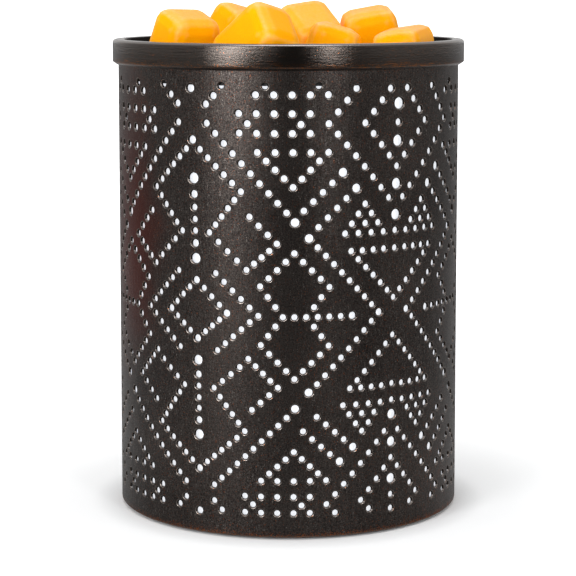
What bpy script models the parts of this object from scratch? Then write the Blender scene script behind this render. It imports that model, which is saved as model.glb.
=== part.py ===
"""Electric wax warmer: a perforated metal lantern with a lamp under a lift-off dish of wax.

Metres, +Z up. The origin is on the floor under the middle of the body, and the front faces -Y.
"""

import math

import bmesh
import bpy
from mathutils import Euler, Matrix, Vector
from mathutils.geometry import delaunay_2d_cdt

# General fits
GAP = 0.0003
CUT_OVERRUN = 0.0020
WELD_DISTANCE = 0.000001

# Body, as seen from outside
BODY_RADIUS = 0.0600
BODY_HEIGHT = 0.1551
FLOOR_GAP = 0.0008
RIM_OVERHANG = 0.0020
RIM_BAND = 0.0089

# Perforated shell
SHELL_SHEET = 0.0008
SHELL_SIDES = 40
SEAM_STEPS = 8
SLOT_WIDTH = 0.0024
SLOT_END_SHARE = 0.35
MEDIUM_DOT_RADIUS = 0.00140
BIG_DOT_RADIUS = 0.0020
LONGEST_FACET = 0.0150
SEAM_ANGLE = math.radians(182.7)

# Inner sleeve, and the pan and ring that hold its ends
SLEEVE_SEAT = 0.0006
FLANGE_SHEET = 0.0012
LIT_BOTTOM = 0.0056
DARK_TOP = 0.0049
RING_HEIGHT = 0.0060
LINER_SHEET = 0.0008
LINER_TUCK = 0.0020
ROUND_SIDES = 36
LAMP_SIDES = 16

# Base pan and its feet
BASE_RISE = 0.0020
BASE_SHEET = 0.0012
BASE_BEND_RADIUS = 0.0022
VENT_RADIUS = 0.0020
VENT_CIRCLE = 0.0330
VENTS = 6
FOOT_RADIUS = 0.0055
FOOT_MARGIN = 0.0054
FOOT_CHAMFER = 0.0006
FOOT_SIDES = 12

# Wax dish
DISH_SHEET = 0.0010
DISH_DEPTH = 0.0180
DISH_CLEARANCE = 0.0007
DISH_DRAFT = 0.0055
DISH_FILLET = 0.0045
RIM_ROUND = 0.0012
LIP_ROUND = 0.0004
HEM_HEIGHT = 0.0018
HEM_CHAMFER = 0.0011

# Lamp with a twist base, under the dish
LAMP_CLEARANCE = 0.0080
LAMP_LENGTH = 0.0540
LAMP_RADIUS = 0.0250
LAMP_WALL = 0.0015
LAMP_BASE_LENGTH = 0.0150
LAMP_BASE_RADIUS = 0.0110
LAMP_NECK_RADIUS = 0.0130
LENS_THICKNESS = 0.0016
LENS_LEDGE = 0.0012
PIN_SPACING = 0.0100
PIN_LENGTH = 0.0070
PIN_RADIUS = 0.0014
PIN_HEAD_RADIUS = 0.0024
PIN_HEAD_LENGTH = 0.0020
TWIST = math.radians(25)

# Lamp holder and the bridge that carries it
HOLDER_RADIUS = 0.0140
HOLDER_HEIGHT = 0.0200
HOLDER_CHAMFER = 0.0010
HOLDER_SCREW_OFFSET = 0.0105
BRIDGE_SHEET = 0.0012
BRIDGE_WIDTH = 0.0340
BRIDGE_DEPTH = 0.0280
BRIDGE_TAB = 0.0110
LEAD_HOLE_RADIUS = 0.0042

# Screws and nuts
SCREW_RADIUS = 0.0015
SCREW_HEAD_RADIUS = 0.0028
SCREW_HEAD_HEIGHT = 0.0016
SCREW_SIDES = 8
NUT_RADIUS = 0.0031
NUT_HEIGHT = 0.0022
THREAD_LENGTH = 0.0050

# Terminal block and leads
BLOCK_WAY = 0.0080
BLOCK_WAYS = 3
BLOCK_DEPTH = 0.0150
BLOCK_HEIGHT = 0.0125
BLOCK_BORE_RADIUS = 0.0018
BLOCK_BORE_HEIGHT = 0.0050
BLOCK_SCREW_RADIUS = 0.0018
BLOCK_SCREW_HEIGHT = 0.0014
BLOCK_SCREW_OFFSET = 0.0042
LEAD_RADIUS = 0.0010
LEAD_SPREAD = 0.0019
LEAD_BOW = 0.0060
EARTH_REACH = 0.0290
EARTH_SCREW_LENGTH = 0.0040

# Gland for the mains cord
GLAND_ANGLE = math.radians(174)
GLAND_HEIGHT = 0.0160
GLAND_RADIUS = 0.0049
GLAND_FLANGE_RADIUS = 0.0069
GLAND_FLANGE = 0.0013
GLAND_LIP_RADIUS = 0.0059
GLAND_BORE_RADIUS = 0.0035
GLAND_SIDES = 12

# Wax melts, cast in a tray with a slight draft. Their sizes are shares of the dish floor's radius, so
# that seven of them fill it. The top share is the draft.
MELT_WIDTH_SHARE = 0.4215
MELT_DEPTH_SHARE = 0.3715
MELT_HEIGHT_SHARE = 0.504
MELT_TOP_SHARE = 0.870
MELT_ROUND_SHARE = 0.0805
MELT_ROUND_STEPS = 2

# Layout of the perforation. One panel of the design is laid out from a left axis at share 0 to a
# right axis at share 1 of its width, and from 0 to 1 up the visible height. Panels stand side by
# side round the body, each one the mirror image of its neighbour, and each takes a share of the
# girth. The design grows a little towards the top, in width and in row height.
PANELS = 5
PANEL_WIDTH_SHARE = 0.181
PANEL_CENTRE_ANGLE = math.radians(2.7)
WIDTH_GROWTH_SHARE = 0.095
HEIGHT_GROWTH_SHARE = 0.080

# Slots on one panel, as the corners of each, and the waist that the upper half is mirrored about
UPPER_SLOT_SHARES = [
    [(0.315, 0.954), (0.641, 0.954)],
    [(0.236, 0.917), (0.560, 0.917)],
    [(0.236, 0.878), (0.560, 0.878)],
    [(0.319, 0.840), (0.645, 0.840)],
    [(0.400, 0.805), (0.482, 0.770), (0.563, 0.805)],
    [(0.157, 0.968), (0.077, 0.934)],
    [(0.078, 0.896), (0.452, 0.718)],
    [(0.532, 0.722), (0.665, 0.778)],
    [(0.773, 0.966), (0.645, 0.897), (0.958, 0.743)],
    [(0.950, 0.964), (0.821, 0.897), (0.955, 0.829)],
    [(0.734, 0.746), (0.601, 0.688)],
]
LOWER_SLOT_SHARES = [
    [(0.597, 0.279), (0.734, 0.225)],
    [(0.530, 0.247), (0.664, 0.193)],
    [(0.450, 0.278), (0.082, 0.116)],
    [(0.082, 0.079), (0.123, 0.059)],
    [(0.958, 0.234), (0.647, 0.077)],
    [(0.958, 0.149), (0.827, 0.080)],
    [(0.404, 0.167), (0.485, 0.200), (0.564, 0.167)],
    [(0.324, 0.133), (0.645, 0.133)],
    [(0.243, 0.096), (0.564, 0.096)],
    [(0.243, 0.058), (0.564, 0.058)],
]
WAIST_SLOT_SHARES = [
    [(0.361, 0.542), (0.433, 0.4995), (0.361, 0.457)],
    [(0.488, 0.4995), (0.713, 0.4995)],
    [(0.105, 0.588), (0.315, 0.503), (0.105, 0.420)],
]
MIRRORED_SLOT_SHARES = [
    (0.5025, [
        (0.278, 0.709), (0.406, 0.654), (0.260, 0.598), (0.076, 0.673), (0.239, 0.760), (0.078, 0.826),
    ]),
    (0.4995, [(0.598, 0.646), (0.875, 0.520)]),
    (0.4995, [(0.325, 0.564), (0.488, 0.634), (0.656, 0.562)]),
    (0.4995, [(0.617, 0.541), (0.582, 0.520)]),
    (0.5040, [(0.060, 0.547), (0.121, 0.521)]),
    (0.4895, [(0.730, 0.673), (0.932, 0.673)]),
    (0.4895, [(0.763, 0.693), (0.900, 0.693)]),
    (0.4895, [(0.796, 0.713), (0.864, 0.713)]),
    (0.4895, [(0.762, 0.636), (0.936, 0.636)]),
    (0.4895, [(0.840, 0.600), (0.962, 0.548)]),
]
BIG_DOT_SHARES = [
    (0.491, 0.698), (0.715, 0.799), (0.782, 0.766), (0.557, 0.665), (0.915, 0.502), (0.771, 0.499),
    (0.557, 0.334), (0.782, 0.206), (0.713, 0.175), (0.159, 0.504), (0.491, 0.300),
]
LEFT_WAIST_SHARE = 0.5070
LEFT_BIG_SHARES = [0.784, 0.617]
LEFT_MEDIUM_SHARES = [0.862, 0.571]
LEFT_SLOT_SHARES = (0.751, 0.649)
LEFT_END_SHARES = [0.965, 0.051]
RIGHT_WAIST_SHARE = 0.4895
RIGHT_BIG_SHARES = [0.859, 0.771, 0.707]
RIGHT_MEDIUM_SHARES = [0.807, 0.531]
RIGHT_SLOT_SHARES = (0.674, 0.637)
RIGHT_END_SHARES = [0.934, 0.896, 0.084, 0.051]

# Places of the melts: shares of the dish floor's radius to the right and to the back, then the turn
# about the upright axis and the lean about X and Y, as shares of a right angle
MELT_SHARES = [
    (-0.691, -0.398, -1.610, -0.242, -0.016),
    (-0.198, -0.806, 1.251, 0.238, -0.490),
    (0.277, -0.292, 0.183, 0.797, -0.802),
    (0.764, -0.271, 1.822, -0.998, -0.905),
    (-0.383, 0.479, -1.551, -0.243, -0.146),
    (0.133, 0.280, -0.665, -1.898, 0.368),
    (0.576, 0.342, -1.946, -0.111, 0.116),
]

# Heights that follow from the sizes above
RIM_LOW = FLOOR_GAP + BODY_HEIGHT
RIM_TOP = RIM_LOW + RIM_BAND
LIP_UNDERSIDE = RIM_TOP - DISH_SHEET
SHELL_TOP = LIP_UNDERSIDE - GAP
BASE_LOW = FLOOR_GAP + BASE_RISE
BASE_TOP = BASE_LOW + BASE_SHEET
ON_BASE = BASE_TOP + GAP
FLANGE_TOP = FLOOR_GAP + LIT_BOTTOM
RING_LOW = RIM_LOW - DARK_TOP
RING_TOP = RING_LOW + RING_HEIGHT
LINER_TOP = RING_LOW + LINER_TUCK
DISH_FLOOR = RIM_TOP - DISH_DEPTH
DISH_UNDERSIDE = DISH_FLOOR - DISH_SHEET
LAMP_FACE = DISH_UNDERSIDE - LAMP_CLEARANCE
LAMP_LOW = LAMP_FACE - LAMP_LENGTH
HOLDER_TOP = LAMP_LOW - GAP
HOLDER_LOW = HOLDER_TOP - HOLDER_HEIGHT
BRIDGE_TOP = HOLDER_LOW - GAP

# Radii that follow from the sizes above
RIM_RADIUS = BODY_RADIUS + RIM_OVERHANG
SLEEVE_OUTER = BODY_RADIUS - SHELL_SHEET - SLEEVE_SEAT
FLANGE_INNER = SLEEVE_OUTER - FLANGE_SHEET
LINER_OUTER = FLANGE_INNER - GAP
LINER_INNER = LINER_OUTER - LINER_SHEET
FOOT_CIRCLE = SLEEVE_OUTER - BASE_BEND_RADIUS - FOOT_RADIUS - FOOT_MARGIN
PANEL_WIDTH = math.tau * BODY_RADIUS * PANEL_WIDTH_SHARE

# The bowl's sloping wall passes through the ring with a clearance
WALL_SLOPE = DISH_DRAFT / DISH_DEPTH
WALL_OFFSET = DISH_SHEET * (math.hypot(1, WALL_SLOPE) - WALL_SLOPE)
UNDER_FLOOR_RADIUS = FLANGE_INNER - DISH_CLEARANCE - (RING_TOP - DISH_UNDERSIDE) * WALL_SLOPE
BOWL_FLOOR_RADIUS = UNDER_FLOOR_RADIUS - WALL_OFFSET
BOWL_TOP_RADIUS = BOWL_FLOOR_RADIUS + DISH_DRAFT
MELT_SIZE_SHARES = (MELT_WIDTH_SHARE, MELT_DEPTH_SHARE, MELT_HEIGHT_SHARE)
MELT_SIZE = [BOWL_FLOOR_RADIUS * share for share in MELT_SIZE_SHARES]


def clear_scene():
    for obj in list(bpy.data.objects):
        bpy.data.objects.remove(obj, do_unlink=True)


def make_material(name, colour, roughness, metallic):
    material = bpy.data.materials.new(name)
    material.use_nodes = True
    surface = material.node_tree.nodes["Principled BSDF"]
    surface.inputs["Base Color"].default_value = (*colour, 1)
    surface.inputs["Roughness"].default_value = roughness
    surface.inputs["Metallic"].default_value = metallic
    return material


def add_mesh(name, shape, material, smooth_angle=math.radians(35)):
    """Turn a bmesh into a named object of the scene, with one material."""
    bmesh.ops.recalc_face_normals(shape, faces=shape.faces)
    mesh = bpy.data.meshes.new(name)
    shape.to_mesh(mesh)
    shape.free()
    mesh.materials.append(material)
    mesh.shade_smooth()
    mesh.set_sharp_from_angle(angle=smooth_angle)
    obj = bpy.data.objects.new(name, mesh)
    bpy.context.scene.collection.objects.link(obj)
    return obj


def add_empty(name, height=0.0):
    empty = bpy.data.objects.new(name, None)
    empty.location.z = height
    empty.empty_display_size = BODY_RADIUS
    bpy.context.scene.collection.objects.link(empty)
    return empty


def carry(parent, *children):
    """Parent the children to an empty and leave them where they are."""
    for child in children:
        child.parent = parent
        child.matrix_parent_inverse = parent.matrix_basis.inverted()


def cut(obj, cutter):
    """Subtract a helper solid, which stays in the file as a hidden wire."""
    cutter.hide_render = True
    cutter.display_type = "WIRE"
    difference = obj.modifiers.new(cutter.name, "BOOLEAN")
    difference.operation = "DIFFERENCE"
    difference.solver = "EXACT"
    difference.object = cutter


def rounded(corners, steps=3):
    """Replace each corner (x, y, radius) of an open outline by an arc of that radius."""
    points = []
    for index, (x, y, radius) in enumerate(corners):
        here = Vector((x, y))
        if radius == 0:
            points.append(here)
            continue
        back = (Vector(corners[index - 1][:2]) - here).normalized()
        ahead = (Vector(corners[index + 1][:2]) - here).normalized()
        half = back.angle(ahead) / 2
        reach = radius / math.tan(half)
        centre = here + (back + ahead).normalized() * radius / math.sin(half)
        start = here + back * reach - centre
        end = here + ahead * reach - centre
        sweep = start.angle_signed(end)
        for step in range(steps + 1):
            turn = Matrix.Rotation(-sweep * step / steps, 2)
            points.append(centre + turn @ start)
    return points


def turned(outline, sides):
    """Spin an outline of (radius, height) points about Z into a closed body."""
    shape = bmesh.new()
    points = [shape.verts.new((radius, 0, height)) for radius, height in outline]
    on_axis = outline[0][0] == 0 and outline[-1][0] == 0
    pairs = list(zip(points, points[1:]))
    if not on_axis:
        pairs.append((points[-1], points[0]))
    edges = [shape.edges.new(pair) for pair in pairs]
    bmesh.ops.spin(
        shape, geom=points + edges, cent=(0, 0, 0), axis=(0, 0, 1), angle=math.tau, steps=sides,
        use_merge=True,
    )
    bmesh.ops.remove_doubles(shape, verts=shape.verts, dist=WELD_DISTANCE)
    return shape


def tube(inner, outer, low, high, sides):
    return turned([(inner, low), (outer, low), (outer, high), (inner, high)], sides)


def cylinder(radius, low, high, sides, place=(0, 0)):
    shape = turned([(0, low), (radius, low), (radius, high), (0, high)], sides)
    bmesh.ops.translate(shape, verts=shape.verts, vec=(*place, 0))
    return shape


def box(size, centre):
    shape = bmesh.new()
    bmesh.ops.create_cube(shape, size=1, matrix=Matrix.Translation(centre) @ Matrix.Diagonal((*size, 1)))
    return shape


def joined(shapes):
    """Collect several separate bodies in one bmesh."""
    whole = bmesh.new()
    for shape in shapes:
        mesh = bpy.data.meshes.new("gathered")
        shape.to_mesh(mesh)
        shape.free()
        whole.from_mesh(mesh)
        bpy.data.meshes.remove(mesh)
    return whole


def polar(radius, angle):
    """A place in plan: angle 0 is at the front (-Y) and grows towards +X."""
    return radius * math.sin(angle), -radius * math.cos(angle)


def on_sheet(across, up):
    """Shares of a panel's width and height as a place on the flat sheet, front middle at 0."""
    height = BODY_HEIGHT * up * (1 - HEIGHT_GROWTH_SHARE + HEIGHT_GROWTH_SHARE * up)
    width = PANEL_WIDTH * (1 + WIDTH_GROWTH_SHARE * (height / BODY_HEIGHT) ** 2)
    return Vector((BODY_RADIUS * PANEL_CENTRE_ANGLE + (across - 0.5) * width, height))


def divided(corners):
    """Add points on long legs, so that each follows the curve of the rolled sheet."""
    points = [corners[0]]
    for start, end in zip(corners, corners[1:]):
        parts = math.ceil(abs(end.x - start.x) / LONGEST_FACET)
        points += [start.lerp(end, part / max(parts, 1)) for part in range(1, max(parts, 1))]
        points.append(end)
    return points


def slot(corners, width):
    """Outline of a slot whose middle line runs through the corners."""
    middle = divided(corners)
    left = []
    right = []
    for index, point in enumerate(middle):
        before = (point - middle[index - 1]).normalized() if index > 0 else None
        after = (middle[index + 1] - point).normalized() if index + 1 < len(middle) else None
        along = ((before or after) + (after or before)).normalized()
        side = along.orthogonal()
        leg = before or after
        spread = width / 2 / max(side.dot(leg.orthogonal()), 0.5)
        end = point
        if before is None:
            end = point - along * width * SLOT_END_SHARE
        elif after is None:
            end = point + along * width * SLOT_END_SHARE
        left.append(end + side * spread)
        right.append(end - side * spread)
    return right + left[::-1]


def dot(centre, radius, sides=4):
    """Outline of a punched dot, drawn with few sides and as large as the round one."""
    reach = radius * math.sqrt(math.tau / sides / math.sin(math.tau / sides))
    return [
        centre + Vector((reach * math.cos(turn), reach * math.sin(turn)))
        for turn in (math.tau * side / sides for side in range(sides))
    ]


def mirrored_up(waist, up):
    return 2 * waist - up


def panel_slots():
    """The corner lists of every slot of one panel, as shares."""
    slots = UPPER_SLOT_SHARES + LOWER_SLOT_SHARES + WAIST_SLOT_SHARES
    for waist, corners in MIRRORED_SLOT_SHARES:
        slots.append(corners)
        slots.append([(across, mirrored_up(waist, up)) for across, up in corners])
    return slots


def axis_openings(across, waist, big, medium, slot_ends, ends):
    """The dots and slots that stand on the line between two panels."""
    outlines = []
    for shares, radius in ((big, BIG_DOT_RADIUS), (medium, MEDIUM_DOT_RADIUS)):
        for up in shares:
            outlines.append(dot(on_sheet(across, up), radius))
            outlines.append(dot(on_sheet(across, mirrored_up(waist, up)), radius))
    outlines += [dot(on_sheet(across, up), MEDIUM_DOT_RADIUS) for up in ends]
    top, low = slot_ends
    for pair in ((top, low), (mirrored_up(waist, top), mirrored_up(waist, low))):
        outlines.append(slot([on_sheet(across, up) for up in pair], SLOT_WIDTH))
    return outlines


def perforation():
    """Outlines of all openings on the flat sheet."""
    outlines = []
    first = -(PANELS // 2)
    for panel in range(first, first + PANELS):
        flipped = panel % 2 == 1

        def place(across, up):
            return on_sheet(panel + (1 - across if flipped else across), up)

        for corners in panel_slots():
            outlines.append(slot([place(*corner) for corner in corners], SLOT_WIDTH))
        for centre in BIG_DOT_SHARES:
            outlines.append(dot(place(*centre), BIG_DOT_RADIUS))
    for line in range(first, first + PANELS + 1):
        if line % 2 == 0:
            outlines += axis_openings(
                line, LEFT_WAIST_SHARE, LEFT_BIG_SHARES, LEFT_MEDIUM_SHARES, LEFT_SLOT_SHARES,
                LEFT_END_SHARES,
            )
        else:
            outlines += axis_openings(
                line, RIGHT_WAIST_SHARE, RIGHT_BIG_SHARES, RIGHT_MEDIUM_SHARES, RIGHT_SLOT_SHARES,
                RIGHT_END_SHARES,
            )
    return outlines


def flat_blank():
    """Triangles of the punched sheet before it is rolled, with its two ends welded."""
    height = SHELL_TOP - FLOOR_GAP
    length = math.tau * BODY_RADIUS
    start = BODY_RADIUS * SEAM_ANGLE - length
    gland = Vector((BODY_RADIUS * GLAND_ANGLE, GLAND_HEIGHT - FLOOR_GAP))
    outlines = perforation() + [dot(gland, GLAND_RADIUS + GAP, GLAND_SIDES)]
    points = []
    for side in range(SHELL_SIDES + 1):
        along = start + length * side / SHELL_SIDES
        points += [Vector((along, 0)), Vector((along, height))]
    for step in range(1, SEAM_STEPS):
        up = height * step / SEAM_STEPS
        points += [Vector((start, up)), Vector((start + length, up))]
    holes = []
    for outline in outlines:
        holes.append(list(range(len(points), len(points) + len(outline))))
        points += outline
    places, _, faces, _, _, sources = delaunay_2d_cdt(points, [], holes, 0, WELD_DISTANCE)
    faces = [face for face, source in zip(faces, sources) if not source]
    start_end = [index for index, place in enumerate(places) if abs(place.x - start) < WELD_DISTANCE]
    far_end = [index for index, place in enumerate(places) if abs(place.x - start - length) < WELD_DISTANCE]

    def height_of(index):
        return places[index].y

    partners = dict(zip(sorted(far_end, key=height_of), sorted(start_end, key=height_of)))
    return places, [tuple(partners.get(corner, corner) for corner in face) for face in faces]


def make_shell(material):
    """Roll the punched sheet into the body: an outer skin, an inner skin and every edge between."""
    places, faces = flat_blank()
    shape = bmesh.new()
    skins = []
    for radius in (BODY_RADIUS, BODY_RADIUS - SHELL_SHEET):
        skin = {}
        for index in {corner for face in faces for corner in face}:
            plan = polar(radius, places[index].x / BODY_RADIUS)
            skin[index] = shape.verts.new((*plan, FLOOR_GAP + places[index].y))
        skins.append(skin)
    outer, inner = skins
    borders = set()
    for face in faces:
        shape.faces.new([outer[corner] for corner in face])
        shape.faces.new([inner[corner] for corner in reversed(face)])
        for pair in zip(face, face[1:] + face[:1]):
            if pair[::-1] in borders:
                borders.remove(pair[::-1])
            else:
                borders.add(pair)
    for first, second in sorted(borders):
        shape.faces.new((outer[second], outer[first], inner[first], inner[second]))
    return add_mesh("shell", shape, material)


def make_gland_cutter(material):
    """A bar through the sleeve where the gland passes."""
    bar = cylinder(GLAND_RADIUS + GAP, -CUT_OVERRUN, GLAND_RADIUS + CUT_OVERRUN, GLAND_SIDES)
    place_radially(bar, LINER_INNER - GLAND_RADIUS / 2)
    return add_mesh("gland_cutter", bar, material)


def place_radially(shape, radius):
    """Turn a body from +Z to point outward at the gland's place."""
    outward = Matrix.Rotation(GLAND_ANGLE, 4, "Z") @ Matrix.Rotation(math.pi / 2, 4, "X")
    plan = polar(radius, GLAND_ANGLE)
    bmesh.ops.transform(shape, matrix=Matrix.Translation((*plan, GLAND_HEIGHT)) @ outward, verts=shape.verts)


def make_gland(material):
    """A grommet that grips the shell and the sleeve between its flange and its lip."""
    facet_radius = LINER_INNER * math.cos(math.pi / ROUND_SIDES)
    lip_face = math.sqrt(facet_radius**2 - GLAND_LIP_RADIUS**2) - GAP
    depth = BODY_RADIUS + GAP - lip_face
    outline = [
        (GLAND_BORE_RADIUS, -GLAND_FLANGE),
        (GLAND_LIP_RADIUS, -GLAND_FLANGE),
        (GLAND_LIP_RADIUS, 0),
        (GLAND_RADIUS, 0),
        (GLAND_RADIUS, depth),
        (GLAND_FLANGE_RADIUS, depth),
        (GLAND_LIP_RADIUS, depth + GLAND_FLANGE),
        (GLAND_BORE_RADIUS, depth + GLAND_FLANGE),
    ]
    shape = turned(outline, GLAND_SIDES)
    place_radially(shape, lip_face)
    return add_mesh("cord_gland", shape, material)


def make_base_plate(material):
    """A shallow pan whose upright flange fits inside the shell."""
    outline = rounded(
        [
            (0, BASE_LOW, 0),
            (SLEEVE_OUTER, BASE_LOW, BASE_BEND_RADIUS),
            (SLEEVE_OUTER, FLANGE_TOP, 0),
            (FLANGE_INNER, FLANGE_TOP, 0),
            (FLANGE_INNER, BASE_TOP, BASE_BEND_RADIUS - BASE_SHEET),
            (0, BASE_TOP, 0),
        ],
        2,
    )
    plate = add_mesh("base_plate", turned(outline, ROUND_SIDES), material)
    holes = [
        cylinder(VENT_RADIUS, BASE_LOW - CUT_OVERRUN, BASE_TOP + CUT_OVERRUN, SCREW_SIDES, place)
        for place in (polar(VENT_CIRCLE, math.tau * (vent + 0.5) / VENTS) for vent in range(VENTS))
    ]
    holes += [
        cylinder(SCREW_RADIUS + GAP, BASE_LOW - CUT_OVERRUN, BASE_TOP + CUT_OVERRUN, SCREW_SIDES, place)
        for place in base_screw_places() + [(0, -EARTH_REACH)]
    ]
    cut(plate, add_mesh("base_holes", joined(holes), material))
    return plate


def base_screw_places():
    reach = (BRIDGE_WIDTH + BRIDGE_TAB) / 2
    return [(-reach, 0), (reach, 0)]


def make_foot(index, material):
    outline = [
        (0, 0),
        (FOOT_RADIUS - FOOT_CHAMFER, 0),
        (FOOT_RADIUS, FOOT_CHAMFER),
        (FOOT_RADIUS, BASE_LOW - GAP),
        (0, BASE_LOW - GAP),
    ]
    shape = turned(outline, FOOT_SIDES)
    place = polar(FOOT_CIRCLE, math.tau * (index - 0.5) / 4)
    foot = add_mesh(f"foot_{index}", shape, material)
    foot.location = (*place, 0)
    return foot


def make_dish(material):
    """One spun piece: bowl, flat lip, and a rim band that hangs over the top of the shell."""
    under_lip = UNDER_FLOOR_RADIUS + (LIP_UNDERSIDE - DISH_UNDERSIDE) * WALL_SLOPE
    skirt = RIM_RADIUS - DISH_SHEET
    hem = BODY_RADIUS + GAP
    outline = rounded(
        [
            (0, DISH_UNDERSIDE, 0),
            (UNDER_FLOOR_RADIUS, DISH_UNDERSIDE, DISH_FILLET + DISH_SHEET),
            (under_lip, LIP_UNDERSIDE, 0),
            (skirt, LIP_UNDERSIDE, 0),
            (skirt, RIM_LOW + HEM_HEIGHT, 0),
            (hem, RIM_LOW + HEM_HEIGHT - (skirt - hem), 0),
            (hem, RIM_LOW, 0),
            (RIM_RADIUS, RIM_LOW + HEM_CHAMFER, 0),
            (RIM_RADIUS, RIM_TOP, RIM_ROUND),
            (BOWL_TOP_RADIUS, RIM_TOP, LIP_ROUND),
            (BOWL_FLOOR_RADIUS, DISH_FLOOR, DISH_FILLET),
            (0, DISH_FLOOR, 0),
        ],
        2,
    )
    return add_mesh("wax_dish", turned(outline, SHELL_SIDES), material)


def make_melt(index, place, material):
    """One cast block, leaned over and set down until its lowest point meets the dish floor."""
    across, back, turn, lean_x, lean_y = place
    shape = bmesh.new()
    bmesh.ops.create_cube(shape, size=1, matrix=Matrix.Diagonal((*MELT_SIZE, 1)))
    for vertex in shape.verts:
        if vertex.co.z > 0:
            vertex.co.x *= MELT_TOP_SHARE
            vertex.co.y *= MELT_TOP_SHARE
    bmesh.ops.bevel(
        shape, geom=shape.edges[:], offset=BOWL_FLOOR_RADIUS * MELT_ROUND_SHARE, offset_type="OFFSET",
        segments=MELT_ROUND_STEPS, profile=0.5, affect="EDGES",
    )
    right_angle = math.pi / 2
    pose = Euler([share * right_angle for share in (lean_x, lean_y, turn)]).to_matrix().to_4x4()
    bmesh.ops.transform(shape, matrix=pose, verts=shape.verts)
    lowest = min(vertex.co.z for vertex in shape.verts)
    melt = add_mesh(f"wax_melt_{index}", shape, material, math.radians(60))
    melt.location = (across * BOWL_FLOOR_RADIUS, back * BOWL_FLOOR_RADIUS, DISH_FLOOR + GAP - lowest)
    return melt


def make_lamp(glass, frosted, ceramic, metal):
    """A reflector lamp on a two-pin twist base, modelled with its axis on the body's axis."""
    base_top = LAMP_LOW + LAMP_BASE_LENGTH
    base = add_mesh(
        "lamp_base",
        turned(
            [
                (0, LAMP_LOW),
                (LAMP_BASE_RADIUS - LAMP_WALL, LAMP_LOW),
                (LAMP_BASE_RADIUS, LAMP_LOW + LAMP_WALL),
                (LAMP_BASE_RADIUS, base_top),
                (0, base_top),
            ],
            LAMP_SIDES,
        ),
        ceramic,
    )
    neck = base_top + GAP
    rise = LAMP_FACE - neck
    flare = LAMP_RADIUS - LAMP_NECK_RADIUS
    outer = [
        (LAMP_NECK_RADIUS + flare * math.sin(part * math.pi / 2), neck + rise * part)
        for part in (0, 0.25, 0.5, 0.75, 1)
    ]
    lens_seat = LAMP_FACE - LENS_THICKNESS - LENS_LEDGE
    inner = [(radius - LAMP_WALL, height + LAMP_WALL) for radius, height in outer[:-1]]
    seat_radius = inner[-1][0]
    outline = [(0, neck)] + outer + [
        (LAMP_RADIUS - LAMP_WALL / 2, LAMP_FACE),
        (seat_radius, lens_seat),
        *reversed(inner[:-1]),
        (0, neck + LAMP_WALL),
    ]
    reflector = add_mesh("lamp_reflector", turned(outline, LAMP_SIDES), glass)
    lens_radius = seat_radius - GAP
    disc = cylinder(lens_radius, lens_seat + GAP, LAMP_FACE - LENS_LEDGE, LAMP_SIDES)
    lens = add_mesh("lamp_lens", disc, frosted)
    pin = [
        (0, LAMP_LOW - GAP - PIN_LENGTH),
        (PIN_HEAD_RADIUS, LAMP_LOW - GAP - PIN_LENGTH),
        (PIN_HEAD_RADIUS, LAMP_LOW - GAP - PIN_LENGTH + PIN_HEAD_LENGTH),
        (PIN_RADIUS, LAMP_LOW - GAP - PIN_LENGTH + PIN_HEAD_LENGTH),
        (PIN_RADIUS, LAMP_LOW - GAP),
        (0, LAMP_LOW - GAP),
    ]
    pins = []
    for index, side in enumerate((-1, 1), 1):
        shape = turned(pin, SCREW_SIDES)
        bmesh.ops.translate(shape, verts=shape.verts, vec=(side * PIN_SPACING / 2, 0, 0))
        pins.append(add_mesh(f"lamp_pin_{index}", shape, metal))
    return base, reflector, lens, *pins


def arc_bar(inner, outer, start, sweep, low, high, steps):
    """A curved bar about Z, from one angle (measured from +X) through a sweep."""
    shape = bmesh.new()
    rings = []
    for step in range(steps + 1):
        angle = start + sweep * step / steps
        ring = []
        for radius, height in ((inner, low), (outer, low), (outer, high), (inner, high)):
            ring.append(shape.verts.new((radius * math.cos(angle), radius * math.sin(angle), height)))
        rings.append(ring)
    for ring, following in zip(rings, rings[1:]):
        for corner in range(4):
            after = (corner + 1) % 4
            shape.faces.new((ring[corner], ring[after], following[after], following[corner]))
    shape.faces.new(rings[0][::-1])
    shape.faces.new(rings[-1])
    return shape


def make_holder(material):
    """A ceramic puck with two curved slots that the lamp's pins twist along."""
    outline = [
        (0, HOLDER_LOW),
        (HOLDER_RADIUS, HOLDER_LOW),
        (HOLDER_RADIUS, HOLDER_TOP - HOLDER_CHAMFER),
        (HOLDER_RADIUS - HOLDER_CHAMFER, HOLDER_TOP),
        (0, HOLDER_TOP),
    ]
    holder = add_mesh("lamp_holder", turned(outline, LAMP_SIDES), material)
    clear = PIN_HEAD_RADIUS + 2 * GAP
    middle = PIN_SPACING / 2
    margin = math.asin(clear / middle)
    depth = PIN_LENGTH + 4 * GAP
    cutters = [
        arc_bar(
            middle - clear, middle + clear, side * math.pi - margin, TWIST + 2 * margin,
            HOLDER_TOP - depth, HOLDER_TOP + CUT_OVERRUN, 4,
        )
        for side in (0, 1)
    ]
    thread_top = HOLDER_LOW + THREAD_LENGTH + GAP
    cutters += [
        cylinder(SCREW_RADIUS + GAP, HOLDER_LOW - CUT_OVERRUN, thread_top, SCREW_SIDES, place)
        for place in holder_screw_places()
    ]
    cut(holder, add_mesh("holder_cutters", joined(cutters), material))
    return holder


def holder_screw_places():
    return [(0, -HOLDER_SCREW_OFFSET), (0, HOLDER_SCREW_OFFSET)]


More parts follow.
